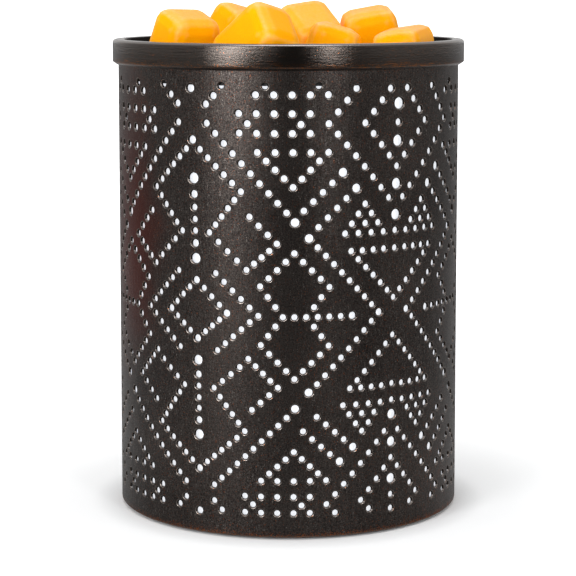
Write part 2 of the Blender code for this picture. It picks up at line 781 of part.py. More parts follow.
def make_bridge(material):
    """A strip bent into a bridge: two feet, two legs and a top that carries the lamp holder."""
    half = BRIDGE_WIDTH / 2
    foot_top = ON_BASE + BRIDGE_SHEET
    outline = [
        (-half - BRIDGE_TAB, ON_BASE), (-half + BRIDGE_SHEET, ON_BASE),
        (-half + BRIDGE_SHEET, BRIDGE_TOP - BRIDGE_SHEET), (half - BRIDGE_SHEET, BRIDGE_TOP - BRIDGE_SHEET),
        (half - BRIDGE_SHEET, ON_BASE), (half + BRIDGE_TAB, ON_BASE),
        (half + BRIDGE_TAB, foot_top), (half, foot_top),
        (half, BRIDGE_TOP), (-half, BRIDGE_TOP),
        (-half, foot_top), (-half - BRIDGE_TAB, foot_top),
    ]
    shape = bmesh.new()
    rim = [shape.verts.new((x, -BRIDGE_DEPTH / 2, z)) for x, z in outline]
    side = shape.faces.new(rim)
    moved = bmesh.ops.extrude_face_region(shape, geom=[side])["geom"]
    ends = [item for item in moved if isinstance(item, bmesh.types.BMVert)]
    bmesh.ops.translate(shape, verts=ends, vec=(0, BRIDGE_DEPTH, 0))
    bridge = add_mesh("lamp_bridge", shape, material)
    top_low = BRIDGE_TOP - BRIDGE_SHEET - CUT_OVERRUN
    top_high = BRIDGE_TOP + CUT_OVERRUN
    holes = [
        cylinder(SCREW_RADIUS + GAP, top_low, top_high, SCREW_SIDES, place) for place in holder_screw_places()
    ]
    holes.append(cylinder(LEAD_HOLE_RADIUS, top_low, top_high, SCREW_SIDES))
    holes += [
        cylinder(SCREW_RADIUS + GAP, ON_BASE - CUT_OVERRUN, foot_top + CUT_OVERRUN, SCREW_SIDES, place)
        for place in base_screw_places()
    ]
    cut(bridge, add_mesh("bridge_holes", joined(holes), material))
    return bridge


def screw(place, head_low, length, up=True):
    """A pan-head screw: the head sits on head_low and the shank runs up or down from it."""
    rise = 1 if up else -1
    head_far = head_low + rise * SCREW_HEAD_HEIGHT
    tip = head_far + rise * length
    outline = [
        (0, head_low), (SCREW_HEAD_RADIUS, head_low), (SCREW_HEAD_RADIUS, head_far),
        (SCREW_RADIUS, head_far), (SCREW_RADIUS, tip), (0, tip),
    ]
    shape = turned(outline, SCREW_SIDES)
    bmesh.ops.translate(shape, verts=shape.verts, vec=(*place, 0))
    return shape


def make_fasteners(material):
    """Screws of the holder, the screws and nuts that hold the bridge to the base, and the earth screw."""
    nodes = []
    under_top = BRIDGE_TOP - BRIDGE_SHEET - GAP
    length = BRIDGE_SHEET + 2 * GAP + THREAD_LENGTH
    for index, place in enumerate(holder_screw_places(), 1):
        shape = screw(place, under_top - SCREW_HEAD_HEIGHT, length)
        nodes.append(add_mesh(f"holder_screw_{index}", shape, material))
    nut_low = ON_BASE + BRIDGE_SHEET + GAP
    head_low = BASE_LOW - GAP - SCREW_HEAD_HEIGHT
    length = nut_low + NUT_HEIGHT + GAP - head_low - SCREW_HEAD_HEIGHT
    for index, place in enumerate(base_screw_places(), 1):
        nodes.append(add_mesh(f"base_screw_{index}", screw(place, head_low, length), material))
        nut = tube(SCREW_RADIUS + GAP, NUT_RADIUS, nut_low, nut_low + NUT_HEIGHT, 6)
        bmesh.ops.translate(nut, verts=nut.verts, vec=(*place, 0))
        nodes.append(add_mesh(f"base_nut_{index}", nut, material))
    earth = screw((0, -EARTH_REACH), ON_BASE + SCREW_HEAD_HEIGHT, EARTH_SCREW_LENGTH - GAP, up=False)
    nodes.append(add_mesh("earth_screw", earth, material))
    return nodes


def block_way(index):
    """Middle of one way of the terminal block, from left to right."""
    return (index - (BLOCK_WAYS - 1) / 2) * BLOCK_WAY


def make_terminals(plastic, brass):
    """A three-way terminal block with its clamp screws."""
    size = (BLOCK_WAYS * BLOCK_WAY, BLOCK_DEPTH, BLOCK_HEIGHT)
    block = add_mesh("terminal_block", box(size, (0, 0, ON_BASE + BLOCK_HEIGHT / 2)), plastic)
    top = ON_BASE + BLOCK_HEIGHT + GAP
    bores = []
    screws = []
    for way in range(BLOCK_WAYS):
        bore = cylinder(BLOCK_BORE_RADIUS, -BLOCK_DEPTH / 2 - CUT_OVERRUN, BLOCK_DEPTH / 2 + CUT_OVERRUN, 6)
        lay = Matrix.Translation((block_way(way), 0, ON_BASE + BLOCK_BORE_HEIGHT)) @ Matrix.Rotation(
            math.pi / 2, 4, "X"
        )
        bmesh.ops.transform(bore, matrix=lay, verts=bore.verts)
        bores.append(bore)
        for side in (-1, 1):
            place = (block_way(way), side * BLOCK_SCREW_OFFSET)
            clamp = cylinder(BLOCK_SCREW_RADIUS, top, top + BLOCK_SCREW_HEIGHT, 6, place)
            screws.append(add_mesh(f"terminal_screw_{len(screws) + 1}", clamp, brass))
    cut(block, add_mesh("block_bores", joined(bores), plastic))
    return block, *screws


def make_lead(name, route, material):
    """An insulated wire along a smooth curve through the route's points."""
    curve = bpy.data.curves.new(name, "CURVE")
    curve.dimensions = "3D"
    curve.bevel_depth = LEAD_RADIUS
    curve.bevel_resolution = 1
    curve.use_fill_caps = True
    spline = curve.splines.new("POLY")
    points = smooth(route)
    spline.points.add(len(points) - 1)
    for point, place in zip(spline.points, points):
        point.co = (*place, 1)
    curve.materials.append(material)
    lead = bpy.data.objects.new(name, curve)
    bpy.context.scene.collection.objects.link(lead)
    return lead


def smooth(route, steps=3):
    """Points of a Catmull-Rom curve through the route."""
    route = [Vector(place) for place in route]
    padded = [2 * route[0] - route[1]] + route + [2 * route[-1] - route[-2]]
    points = []
    for before, start, end, after in zip(padded, padded[1:], padded[2:], padded[3:]):
        for step in range(steps):
            part = step / steps
            points.append(
                0.5 * (
                    2 * start
                    + (end - before) * part
                    + (2 * before - 5 * start + 4 * end - after) * part**2
                    + (3 * start - before - 3 * end + after) * part**3
                )
            )
    return points + [route[-1]]


def make_leads(live_colour, neutral_colour, earth_colour):
    """Leads from the terminal block: two up to the lamp holder and one to the earth screw."""
    leads = []
    start_y = -BLOCK_DEPTH / 2 + 2 * GAP
    start_z = ON_BASE + BLOCK_BORE_HEIGHT
    holder_z = HOLDER_LOW - GAP
    climb = holder_z - start_z
    for name, side, colour in (("lead_live", -1, live_colour), ("lead_neutral", 1, neutral_colour)):
        route = [
            (side * BLOCK_WAY, start_y, start_z),
            (side * BLOCK_WAY, start_y - LEAD_BOW, start_z + LEAD_BOW / 3),
            (side * BLOCK_WAY, start_y - LEAD_BOW, start_z + climb / 4),
            (side * (LEAD_SPREAD + BLOCK_WAY) / 2, start_y, start_z + climb / 2),
            (side * LEAD_SPREAD, -LEAD_SPREAD / 2, start_z + climb * 0.8),
            (side * LEAD_SPREAD, 0, holder_z),
        ]
        leads.append(make_lead(name, route, colour))
    reach = EARTH_REACH - SCREW_HEAD_RADIUS - 2 * GAP
    low = ON_BASE + LEAD_RADIUS + GAP
    route = [
        (0, start_y, start_z),
        (0, start_y - LEAD_BOW, start_z),
        (0, (start_y - LEAD_BOW - reach) / 2, (start_z + low) / 2),
        (0, -reach, low),
    ]
    leads.append(make_lead("lead_earth", route, earth_colour))
    return leads


def main():
    clear_scene()
    bronze = make_material("oil_rubbed_bronze", (0.035, 0.028, 0.024), 0.42, 0.85)
    dish_bronze = make_material("brushed_bronze", (0.060, 0.048, 0.042), 0.34, 0.90)
    zinc = make_material("zinc_plate", (0.55, 0.55, 0.53), 0.40, 1.0)
    black_steel = make_material("black_steel", (0.020, 0.020, 0.020), 0.55, 0.6)
    frosted = make_material("frosted_sleeve", (0.90, 0.92, 0.94), 0.70, 0.0)
    rubber = make_material("black_rubber", (0.015, 0.015, 0.015), 0.85, 0.0)
    ceramic = make_material("white_ceramic", (0.80, 0.78, 0.72), 0.50, 0.0)
    glass = make_material("reflector_glass", (0.75, 0.76, 0.78), 0.15, 0.5)
    lens_glass = make_material("lens_glass", (0.85, 0.88, 0.90), 0.10, 0.0)
    nylon = make_material("natural_nylon", (0.78, 0.76, 0.70), 0.60, 0.0)
    brass = make_material("brass", (0.60, 0.45, 0.18), 0.35, 1.0)
    wax = make_material("amber_wax", (0.95, 0.46, 0.06), 0.55, 0.0)
    live = make_material("lead_brown", (0.20, 0.09, 0.04), 0.60, 0.0)
    neutral = make_material("lead_blue", (0.05, 0.15, 0.45), 0.60, 0.0)
    earth = make_material("lead_green", (0.15, 0.40, 0.08), 0.60, 0.0)

    housing = add_empty("housing")
    band = tube(FLANGE_INNER, SLEEVE_OUTER, RING_LOW, RING_TOP, ROUND_SIDES)
    ring = add_mesh("top_ring", band, black_steel)
    sleeve = tube(LINER_INNER, LINER_OUTER, ON_BASE, LINER_TOP, ROUND_SIDES)
    liner = add_mesh("diffuser_liner", sleeve, frosted)
    gland_cutter = make_gland_cutter(rubber)
    cut(liner, gland_cutter)
    carry(housing, make_shell(bronze), ring, liner, gland_cutter, make_gland(rubber))
    carry(housing, make_base_plate(black_steel), *(make_foot(index, rubber) for index in range(1, 5)))
    carry(housing, make_bridge(zinc), make_holder(ceramic), *make_fasteners(zinc))
    carry(housing, *make_terminals(nylon, brass), *make_leads(live, neutral, earth))

    lamp_axis = add_empty("lamp_twist_axis", LAMP_LOW)
    carry(lamp_axis, *make_lamp(glass, lens_glass, ceramic, brass))
    dish_axis = add_empty("dish_lift_axis", RIM_LOW)
    carry(dish_axis, make_dish(dish_bronze))
    melt_axis = add_empty("melt_lift_axis", DISH_FLOOR)
    carry(melt_axis, *(make_melt(index, place, wax) for index, place in enumerate(MELT_SHARES, 1)))


main()
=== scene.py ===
"""Looks of an electric wax warmer: a punched bronze lantern, lit from inside, under a dish of wax."""

import math

import bmesh
import bpy
from mathutils import Matrix, Vector, noise
from mathutils.geometry import delaunay_2d_cdt


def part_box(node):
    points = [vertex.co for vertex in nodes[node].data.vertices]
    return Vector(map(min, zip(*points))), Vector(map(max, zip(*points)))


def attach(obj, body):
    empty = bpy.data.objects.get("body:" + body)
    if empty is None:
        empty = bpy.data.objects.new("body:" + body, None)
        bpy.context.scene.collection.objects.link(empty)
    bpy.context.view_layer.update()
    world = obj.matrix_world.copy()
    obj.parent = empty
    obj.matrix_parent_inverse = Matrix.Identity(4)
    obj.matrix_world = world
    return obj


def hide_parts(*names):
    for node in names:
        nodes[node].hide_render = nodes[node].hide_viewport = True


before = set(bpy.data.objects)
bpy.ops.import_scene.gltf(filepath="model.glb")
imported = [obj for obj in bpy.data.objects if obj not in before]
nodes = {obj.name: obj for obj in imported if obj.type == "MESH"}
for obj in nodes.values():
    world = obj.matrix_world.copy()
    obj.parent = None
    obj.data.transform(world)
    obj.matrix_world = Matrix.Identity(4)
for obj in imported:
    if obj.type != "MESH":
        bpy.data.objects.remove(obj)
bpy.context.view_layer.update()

# Camera. The photograph was taken 0.7 m in front of the body, with the lens level with the wax and
# tilted a little down. The frame is shifted so that the uprights stay nearly parallel.
CAMERA_PLACE = (0, -0.7039, 0.1857)
CAMERA_TILT = math.radians(83.83)
LENS_MM = 124.0
SENSOR_MM = 36.0
FRAME_SHIFT = (-0.0007, -0.1641)

camera = bpy.data.objects.new("camera", bpy.data.cameras.new("camera"))
camera.location = CAMERA_PLACE
camera.rotation_euler.x = CAMERA_TILT
camera.data.lens = LENS_MM
camera.data.sensor_width = SENSOR_MM
camera.data.shift_x, camera.data.shift_y = FRAME_SHIFT
camera.data.dof.use_dof = False
bpy.context.scene.collection.objects.link(camera)
bpy.context.scene.camera = camera
bpy.context.scene.view_settings.view_transform = "Standard"


# Studio. A white floor runs back under a white sky. A tall soft lamp stands on each side of the
# camera, with a small one beside the left one, and a wide one hangs overhead. Metal mirrors a studio
# that is dark towards the camera.
FLOOR_REACH = 20.0
FLOOR_COLOUR = (0.86, 0.87, 0.88)
FLOOR_DUST = (0.90, 0.90, 0.90)
FLOOR_MIRRORED_NEAR = 0.38
FLOOR_MIRRORED_FAR = 0.06
FLOOR_MIRRORED_SIDE = 0.50
MIRROR_FADE = (0.11, 0.50)
MIRROR_TURN = (-1.0, -0.1)
FLOOR_LIFT = 0.30
LIFT_EDGE = (0.056, 0.071)
FAR_LIFT = 1.0
FAR_FADE = (0.08, 0.40)
BEHIND_LIFT = 0.13
BEHIND_FADE = (-0.03, 0.07)
SKY_LIGHT = 0.40
SKY_DARK_SIDE = 0.04
SKY_BRIGHT_SIDE = 0.66
SKY_TURN = (-1.0, -0.35)
LAMPS = {
    "key_softbox": {"place": (-0.732, -0.956, 0.455), "size": (0.36, 0.75), "power": 7.0},
    "side_softbox": {"place": (-0.45, -1.11, 0.45), "size": (0.30, 0.40), "power": 1.6},
    "fill_softbox": {"place": (0.53, -1.07, 0.49), "size": (0.18, 0.70), "power": 3.2},
    "top_softbox": {"place": (0.0, -0.30, 1.20), "size": (0.90, 0.70), "power": 4.5},
}
LAMP_TARGET = Vector((0, 0, 0.10))


def add(tree, kind, values=None, **settings):
    """Add a shader node. values maps its sockets to numbers, or to the outputs of other nodes."""
    made = tree.nodes.new("ShaderNode" + kind)
    for name, value in settings.items():
        setattr(made, name, value)
    for socket, value in (values or {}).items():
        if isinstance(value, bpy.types.NodeSocket):
            tree.links.new(value, made.inputs[socket])
        else:
            made.inputs[socket].default_value = value
    return made


def ramp(tree, value, span, ends=(0.0, 1.0), kind="SMOOTHSTEP"):
    """Turn a value that runs over a span into one that runs between two ends and stays there."""
    low, high = span
    start, end = ends
    sockets = {"Value": value, "From Min": low, "From Max": high, "To Min": start, "To Max": end}
    return add(tree, "MapRange", sockets, interpolation_type=kind).outputs["Result"]


def mixed(tree, factor, first, second, kind="RGBA"):
    """Blend two colours, or two values, by a factor from 0 to 1."""
    sockets = {"Factor": factor, "A": first, "B": second}
    return add(tree, "Mix", sockets, data_type=kind).outputs["Result"]


def seen_directly(tree):
    """1 for rays from the camera, and for those that mirror or pass on the background."""
    path = add(tree, "LightPath")
    seen = add(tree, "Math", {0: path.outputs["Is Camera Ray"], 1: path.outputs["Is Glossy Ray"]})
    rays = {0: seen.outputs[0], 1: path.outputs["Is Transmission Ray"]}
    return add(tree, "Math", rays, use_clamp=True).outputs[0]


def make_sky():
    world = bpy.data.worlds.new("white_sky")
    bpy.context.scene.world = world
    world.use_nodes = True
    tree = world.node_tree
    tree.nodes.clear()
    direction = add(tree, "SeparateXYZ", {0: add(tree, "TexCoord").outputs["Generated"]})
    side = ramp(tree, direction.outputs["Y"], SKY_TURN, (SKY_DARK_SIDE, SKY_BRIGHT_SIDE))
    path = add(tree, "LightPath")
    mirrored = mixed(tree, path.outputs["Is Glossy Ray"], 1.0, side, "FLOAT")
    light = add(tree, "Background", {"Color": (1, 1, 1, 1), "Strength": SKY_LIGHT})
    view = add(tree, "Background", {"Color": (1, 1, 1, 1), "Strength": mirrored})
    both = add(tree, "MixShader", {0: seen_directly(tree), 1: light.outputs[0], 2: view.outputs[0]})
    add(tree, "OutputWorld", {"Surface": both.outputs[0]})


def make_floor():
    mesh = bpy.data.meshes.new("floor")
    shape = bmesh.new()
    bmesh.ops.create_grid(shape, x_segments=8, y_segments=8, size=FLOOR_REACH)
    shape.to_mesh(mesh)
    shape.free()
    floor = bpy.data.objects.new("floor", mesh)
    bpy.context.scene.collection.objects.link(floor)
    material = bpy.data.materials.new("white_floor")
    material.use_nodes = True
    tree = material.node_tree
    surface = tree.nodes["Principled BSDF"]
    surface.inputs["Roughness"].default_value = 0.6
    surface.inputs["Specular IOR Level"].default_value = 0.1
    surface.inputs["Emission Color"].default_value = (1, 1, 1, 1)
    dust = add(tree, "TexNoise", {"Scale": 3.0, "Detail": 2.0})
    tint = mixed(tree, dust.outputs["Fac"], (*FLOOR_COLOUR, 1), (*FLOOR_DUST, 1))
    path = add(tree, "LightPath")
    place = add(tree, "NewGeometry").outputs["Position"]
    away = add(tree, "VectorMath", {0: place}, operation="LENGTH").outputs["Value"]
    ahead = ramp(tree, away, MIRROR_FADE, (FLOOR_MIRRORED_NEAR, FLOOR_MIRRORED_FAR), "LINEAR")
    bearing = add(tree, "VectorMath", {0: place}, operation="NORMALIZE").outputs[0]
    facing = add(tree, "SeparateXYZ", {0: bearing}).outputs["Y"]
    side = ramp(tree, facing, MIRROR_TURN, (ahead, FLOOR_MIRRORED_SIDE))
    colour = mixed(tree, path.outputs["Is Glossy Ray"], tint, side)
    tree.links.new(colour, surface.inputs["Base Color"])
    # Camera rays see the floor lifted by painted light: none close round the body, more further out and
    # behind it, so the object's shadow shows only near its base.
    near = ramp(tree, away, LIFT_EDGE, (0.0, FLOOR_LIFT), "LINEAR")
    far = ramp(tree, away, FAR_FADE, (0.0, FAR_LIFT - FLOOR_LIFT), "LINEAR")
    depth = add(tree, "SeparateXYZ", {0: place}).outputs["Y"]
    behind = ramp(tree, depth, BEHIND_FADE, (0.0, BEHIND_LIFT), "LINEAR")
    sides = add(tree, "Math", {0: near, 1: behind})
    both = add(tree, "Math", {0: sides.outputs[0], 1: far})
    lift = add(tree, "Math", {0: path.outputs["Is Camera Ray"], 1: both.outputs[0]}, operation="MULTIPLY")
    tree.links.new(lift.outputs[0], surface.inputs["Emission Strength"])
    mesh.materials.append(material)


def make_lamps():
    for name, lamp in LAMPS.items():
        light = bpy.data.lights.new(name, "AREA")
        light.shape = "RECTANGLE"
        light.size, light.size_y = lamp["size"]
        light.energy = lamp["power"]
        stand = bpy.data.objects.new(name, light)
        stand.location = lamp["place"]
        stand.rotation_euler = (LAMP_TARGET - stand.location).to_track_quat("-Z", "Y").to_euler()
        bpy.context.scene.collection.objects.link(stand)


make_sky()
make_floor()
make_lamps()


# Base pan and feet. The pan is pressed black steel with a short flange that the shell slips over, and
# four turned rubber feet are pushed into it. They lift the shell's edge just clear of the table.
BLACK_PAINT = (0.018, 0.018, 0.019)
RUBBER = (0.020, 0.020, 0.021)
FOOT_HOLLOW = 0.0030
FOOT_HOLLOW_SHARE = 0.3
FOOT_TAPER_SHARE = 0.97
FOOT_EDGE = 0.0007
TOUCHING = 0.000001


def group(name, inputs, outputs):
    """A shader node group with named inputs, given with their defaults, and named outputs."""
    tree = bpy.data.node_groups.new(name, "ShaderNodeTree")
    kinds = {float: "NodeSocketFloat", 3: "NodeSocketVector", 4: "NodeSocketColor"}
    for title, value in inputs.items():
        kind = kinds[float if isinstance(value, float) else len(value)]
        socket = tree.interface.new_socket(title, in_out="INPUT", socket_type=kind)
        socket.default_value = value
    for title, kind in outputs.items():
        tree.interface.new_socket(title, in_out="OUTPUT", socket_type=kind)
    enter = tree.nodes.new("NodeGroupInput")
    leave = tree.nodes.new("NodeGroupOutput")
    return tree, enter.outputs, leave.inputs


def sum_of(tree, first, second, share):
    """The first value plus a share of the second."""
    return add(tree, "Math", {0: second, 1: share, 2: first}, operation="MULTIPLY_ADD").outputs[0]


def make_grain_group():
    """Fine grain of a moulded, cast or painted surface: a tint, a roughness and a height."""
    tree, given, wanted = group(
        "surface_grain",
        {"Colour": (0.5, 0.5, 0.5, 1.0), "Second Colour": (0.4, 0.4, 0.4, 1.0), "Grain Size": 0.0006,
         "Patch Size": 0.0200, "Roughness": 0.5, "Roughness Spread": 0.15},
        {"Color": "NodeSocketColor", "Roughness": "NodeSocketFloat", "Height": "NodeSocketFloat"},
    )
    place = add(tree, "TexCoord").outputs["Object"]
    fine_scale = add(tree, "Math", {0: 1.0, 1: given["Grain Size"]}, operation="DIVIDE")
    patch_scale = add(tree, "Math", {0: 1.0, 1: given["Patch Size"]}, operation="DIVIDE")
    fine = add(tree, "TexNoise", {"Vector": place, "Scale": fine_scale.outputs[0], "Detail": 3.0})
    patch = add(tree, "TexNoise", {"Vector": place, "Scale": patch_scale.outputs[0], "Detail": 4.0})
    blend = add(tree, "Math", {0: fine.outputs["Fac"], 1: patch.outputs["Fac"]}, operation="MULTIPLY")
    share = ramp(tree, blend.outputs[0], (0.12, 0.40), kind="LINEAR")
    colour = mixed(tree, share, given["Second Colour"], given["Colour"])
    offset = add(tree, "Math", {0: patch.outputs["Fac"], 1: 0.5}, operation="SUBTRACT")
    rough = sum_of(tree, given["Roughness"], offset.outputs[0], given["Roughness Spread"])
    tree.links.new(colour, wanted["Color"])
    tree.links.new(rough, wanted["Roughness"])
    tree.links.new(fine.outputs["Fac"], wanted["Height"])
    return tree


surface_grain = make_grain_group()


def finish(name, effect, values, bump, plain):
    """A material whose colour, roughness and bump come from a node group.

    values go to the group, plain to the shader's own sockets, and bump is (strength, depth in metres)."""
    material = bpy.data.materials.new(name)
    material.use_nodes = True
    tree = material.node_tree
    surface = tree.nodes["Principled BSDF"]
    pattern = add(tree, "Group", node_tree=effect)
    for title, value in values.items():
        pattern.inputs[title].default_value = value
    strength, depth = bump
    height = pattern.outputs["Height"]
    relief = add(tree, "Bump", {"Strength": strength, "Distance": depth, "Height": height})
    tree.links.new(pattern.outputs["Color"], surface.inputs["Base Color"])
    tree.links.new(pattern.outputs["Roughness"], surface.inputs["Roughness"])
    tree.links.new(relief.outputs["Normal"], surface.inputs["Normal"])
    for title, value in plain.items():
        surface.inputs[title].default_value = value
    return material


def grained(name, colour, second, grain, patch, roughness, plain, bump=(0.3, 0.0002)):
    """A material with the fine grain of a moulded, cast or painted surface."""
    values = {
        "Colour": (*colour, 1), "Second Colour": (*second, 1), "Grain Size": grain, "Patch Size": patch,
        "Roughness": roughness,
    }
    return finish(name, surface_grain, values, bump, plain)


def dress(names, material):
    """Give CAD nodes that stay as they are a better material."""
    for name in names:
        for slot in nodes[name].material_slots:
            slot.material = material


def rounded(corners, steps=6):
    """Replace each corner (x, y, radius) of an open outline by an arc of that radius."""
    points = []
    for index, (x, y, radius) in enumerate(corners):
        here = Vector((x, y))
        if radius == 0:
            points.append(here)
            continue
        back = (Vector(corners[index - 1][:2]) - here).normalized()
        ahead = (Vector(corners[index + 1][:2]) - here).normalized()
        half = back.angle(ahead) / 2
        centre = here + (back + ahead).normalized() * radius / math.sin(half)
        start = here + back * radius / math.tan(half) - centre
        sweep = start.angle_signed(here + ahead * radius / math.tan(half) - centre)
        points += [centre + Matrix.Rotation(-sweep * step / steps, 2) @ start for step in range(steps + 1)]
    return points


def turned(name, outline, material, sides=144, sharp=math.radians(32)):
    """Spin an outline of (radius, height) points about Z into a closed, smooth piece."""
    shape = bmesh.new()
    points = [shape.verts.new((radius, 0, height)) for radius, height in outline]
    pairs = list(zip(points, points[1:]))
    if outline[0][0] > 0:
        pairs.append((points[-1], points[0]))
    edges = [shape.edges.new(pair) for pair in pairs]
    bmesh.ops.spin(
        shape, geom=points + edges, cent=(0, 0, 0), axis=(0, 0, 1), angle=math.tau, steps=sides,
        use_merge=True,
    )
    bmesh.ops.remove_doubles(shape, verts=shape.verts, dist=TOUCHING)
    bmesh.ops.recalc_face_normals(shape, faces=shape.faces)
    mesh = bpy.data.meshes.new(name)
    shape.to_mesh(mesh)
    shape.free()
    mesh.materials.append(material)
    mesh.shade_smooth()
    mesh.set_sharp_from_angle(angle=sharp)
    piece = bpy.data.objects.new(name, mesh)
    bpy.context.scene.collection.objects.link(piece)
    return piece


def stands_for(piece, body, slot, *replaced):
    """The piece rides on a body and replaces CAD nodes; slot is not used."""
    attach(piece, body)
    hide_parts(*replaced)


black_paint = grained(
    "black_satin_paint", BLACK_PAINT, (0.028, 0.028, 0.030), 0.0005, 0.030, 0.45, {"Metallic": 0.0}
)
dress(["base_plate"], black_paint)
foot_rubber = grained(
    "foot_rubber", RUBBER, (0.035, 0.035, 0.035), 0.0004, 0.006, 0.75, {"Specular IOR Level": 0.3}
)


def make_foot(index):
    low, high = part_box(f"foot_{index}")
    radius = (high.x - low.x) / 2
    height = high.z - low.z
    hollow = height * FOOT_HOLLOW_SHARE
    outline = rounded(
        [
            (0, hollow, 0),
            (FOOT_HOLLOW, hollow, FOOT_EDGE),
            (FOOT_HOLLOW + FOOT_EDGE, 0, FOOT_EDGE / 2),
            (radius, 0, FOOT_EDGE),
            (radius * FOOT_TAPER_SHARE, height, 0),
            (0, height, 0),
        ],
        4,
    )
    foot = turned(f"rubber_foot_{index}", outline, foot_rubber, 48)
    foot.location = ((low.x + high.x) / 2, (low.y + high.y) / 2, low.z)
    stands_for(foot, "housing", "black_rubber", f"foot_{index}")


for index in range(1, 5):
    make_foot(index)


# Wiring. A moulded three-way terminal block with brass clamp screws stands under the bridge. Brown
# and blue leads climb to the lamp holder and a green one goes to the earth screw on the pan.
LEADS = {
    "lead_live": ((0.16, 0.065, 0.030), (0.20, 0.085, 0.040)),
    "lead_neutral": ((0.030, 0.10, 0.36), (0.045, 0.14, 0.44)),
    "lead_earth": ((0.10, 0.32, 0.045), (0.14, 0.40, 0.060)),
}
milky_nylon = grained(
    "milky_nylon", (0.74, 0.72, 0.66), (0.66, 0.63, 0.56), 0.0008, 0.008, 0.45,
    {"Subsurface Weight": 0.15, "Subsurface Scale": 0.002},
)
dress(["terminal_block"], milky_nylon)
brass = grained(
    "machined_brass", (0.62, 0.44, 0.17), (0.50, 0.34, 0.12), 0.0003, 0.004, 0.32, {"Metallic": 1.0}
)
dress([f"terminal_screw_{index}" for index in range(1, 7)] + ["lamp_pin_1", "lamp_pin_2"], brass)
for lead, (colour, second) in LEADS.items():
    dress([lead], grained(f"{lead}_insulation", colour, second, 0.0005, 0.010, 0.42, {}))


# Lamp bridge and holder. A zinc-plated strip is bent into a bridge and screwed to the pan. It carries
# a pressed ceramic holder, held from below by two screws.
zinc = grained(
    "zinc_plate", (0.56, 0.57, 0.56), (0.42, 0.43, 0.44), 0.0012, 0.006, 0.36, {"Metallic": 1.0},
    (0.15, 0.0001),
)
ceramic = grained(
    "pressed_ceramic", (0.78, 0.76, 0.70), (0.70, 0.67, 0.60), 0.0004, 0.010, 0.62, {}, (0.4, 0.0001)
)
dress(["lamp_bridge", "base_nut_1", "base_nut_2", "earth_screw"], zinc)
dress(["base_screw_1", "base_screw_2", "holder_screw_1", "holder_screw_2"], zinc)
dress(["lamp_holder"], ceramic)


# Lamp. A pressed glass reflector with small facets stands on a ceramic two-pin base, and a ribbed
# glass lens closes it. Its warm glow shines into the white sleeve, whose own glow is painted on.
REFLECTOR_WALL = 0.0014
THROAT_SHARE = 1.05
FOOT_ROUND_SHARE = 0.1
FACETS_ROUND = 36
FACET_RIDGE_SHARE = 0.25
FACET_ROWS = 9
FACET_DEPTH = 0.0004
LENS_RINGS = 7
LENS_RIPPLE = 0.00025

reflector_glass = grained(
    "mirrored_glass", (0.80, 0.82, 0.86), (0.72, 0.75, 0.80), 0.0006, 0.010, 0.12, {"Metallic": 0.85},
    (0.05, 0.0001),
)
lens_glass = grained(
    "frosted_lens", (0.96, 0.94, 0.90), (0.90, 0.88, 0.84), 0.0005, 0.010, 0.35,
    {"Emission Color": (1.0, 0.86, 0.66, 1.0), "Emission Strength": 0.8}, (0.2, 0.0001),
)


def make_reflector():
    low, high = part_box("lamp_reflector")
    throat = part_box("lamp_base")[1].x * THROAT_SHARE
    outer = []
    for row in range(FACET_ROWS + 1):
        part = row / FACET_ROWS
        radius = throat + (high.x - throat) * math.sin(part * math.pi / 2)
        outer.append((radius, low.z + (high.z - low.z) * part))
    lens_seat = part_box("lamp_lens")[0].z
    inner = [(radius - REFLECTOR_WALL, height + REFLECTOR_WALL) for radius, height in outer[:-1]]
    inner = [point for point in inner if point[1] < lens_seat]
    outline = [(0, low.z)] + outer + [(high.x - REFLECTOR_WALL / 2, high.z), (inner[-1][0], lens_seat)]
    outline += inner[::-1] + [(0, low.z + REFLECTOR_WALL)]
    bell = turned("reflector_bell", outline, reflector_glass, FACETS_ROUND * 2, math.radians(14))
    for vertex in bell.data.vertices:
        radius = math.hypot(vertex.co.x, vertex.co.y)
        turn = math.atan2(vertex.co.y, vertex.co.x) / math.tau * FACETS_ROUND
        between = abs(turn - round(turn)) > FACET_RIDGE_SHARE
        if radius > throat and between and vertex.co.z < high.z - FACET_DEPTH:
            vertex.co.x *= 1 - FACET_DEPTH / radius
            vertex.co.y *= 1 - FACET_DEPTH / radius
    stands_for(bell, "lamp", "reflector_glass", "lamp_reflector")


def make_lens():
    low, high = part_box("lamp_lens")
    steps = LENS_RINGS * 6
    top = []
    for step in range(steps + 1):
        part = 1 - step / steps
        ripple = LENS_RIPPLE * (1 - math.cos(part * LENS_RINGS * math.tau)) / 2
        top.append((high.x * part, high.z - ripple))
    lens = turned("lamp_front_lens", [(0, low.z), (high.x, low.z)] + top, lens_glass, 96)
    stands_for(lens, "lamp", "lens_glass", "lamp_lens")


def make_lamp_base():
    low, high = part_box("lamp_base")
    edge = (high.z - low.z) * FOOT_ROUND_SHARE
    outline = rounded(
        [(0, low.z, 0), (high.x, low.z, edge), (high.x, high.z, edge / 2), (0, high.z, 0)], 5
    )
    stands_for(turned("lamp_foot", outline, ceramic, 72), "lamp", "white_ceramic", "lamp_base")


make_reflector()
make_lens()
make_lamp_base()


# White sleeve and top ring. The sleeve is a rolled sheet of translucent film behind every hole. The
# lamp's light through it is painted on as the film's own glow. A black steel ring holds its upper
# end inside the shell.
SLEEVE_COLOUR = (0.90, 0.93, 0.97)
SLEEVE_GLOW = (0.92, 0.95, 1.0, 1.0)
SLEEVE_GLOW_STRENGTH = 0.85
SLEEVE_WALL = 0.0008
RING_WALL = 0.0012
BAND_EDGE_SHARE = 0.3

# The film's glow is painted light, standing in for the lamp shining through it.
lit_film = grained(
    "lit_white_film", SLEEVE_COLOUR, (0.86, 0.90, 0.95), 0.0010, 0.030, 0.65,
    {"Emission Color": SLEEVE_GLOW, "Emission Strength": SLEEVE_GLOW_STRENGTH}, (0.1, 0.0001),
)


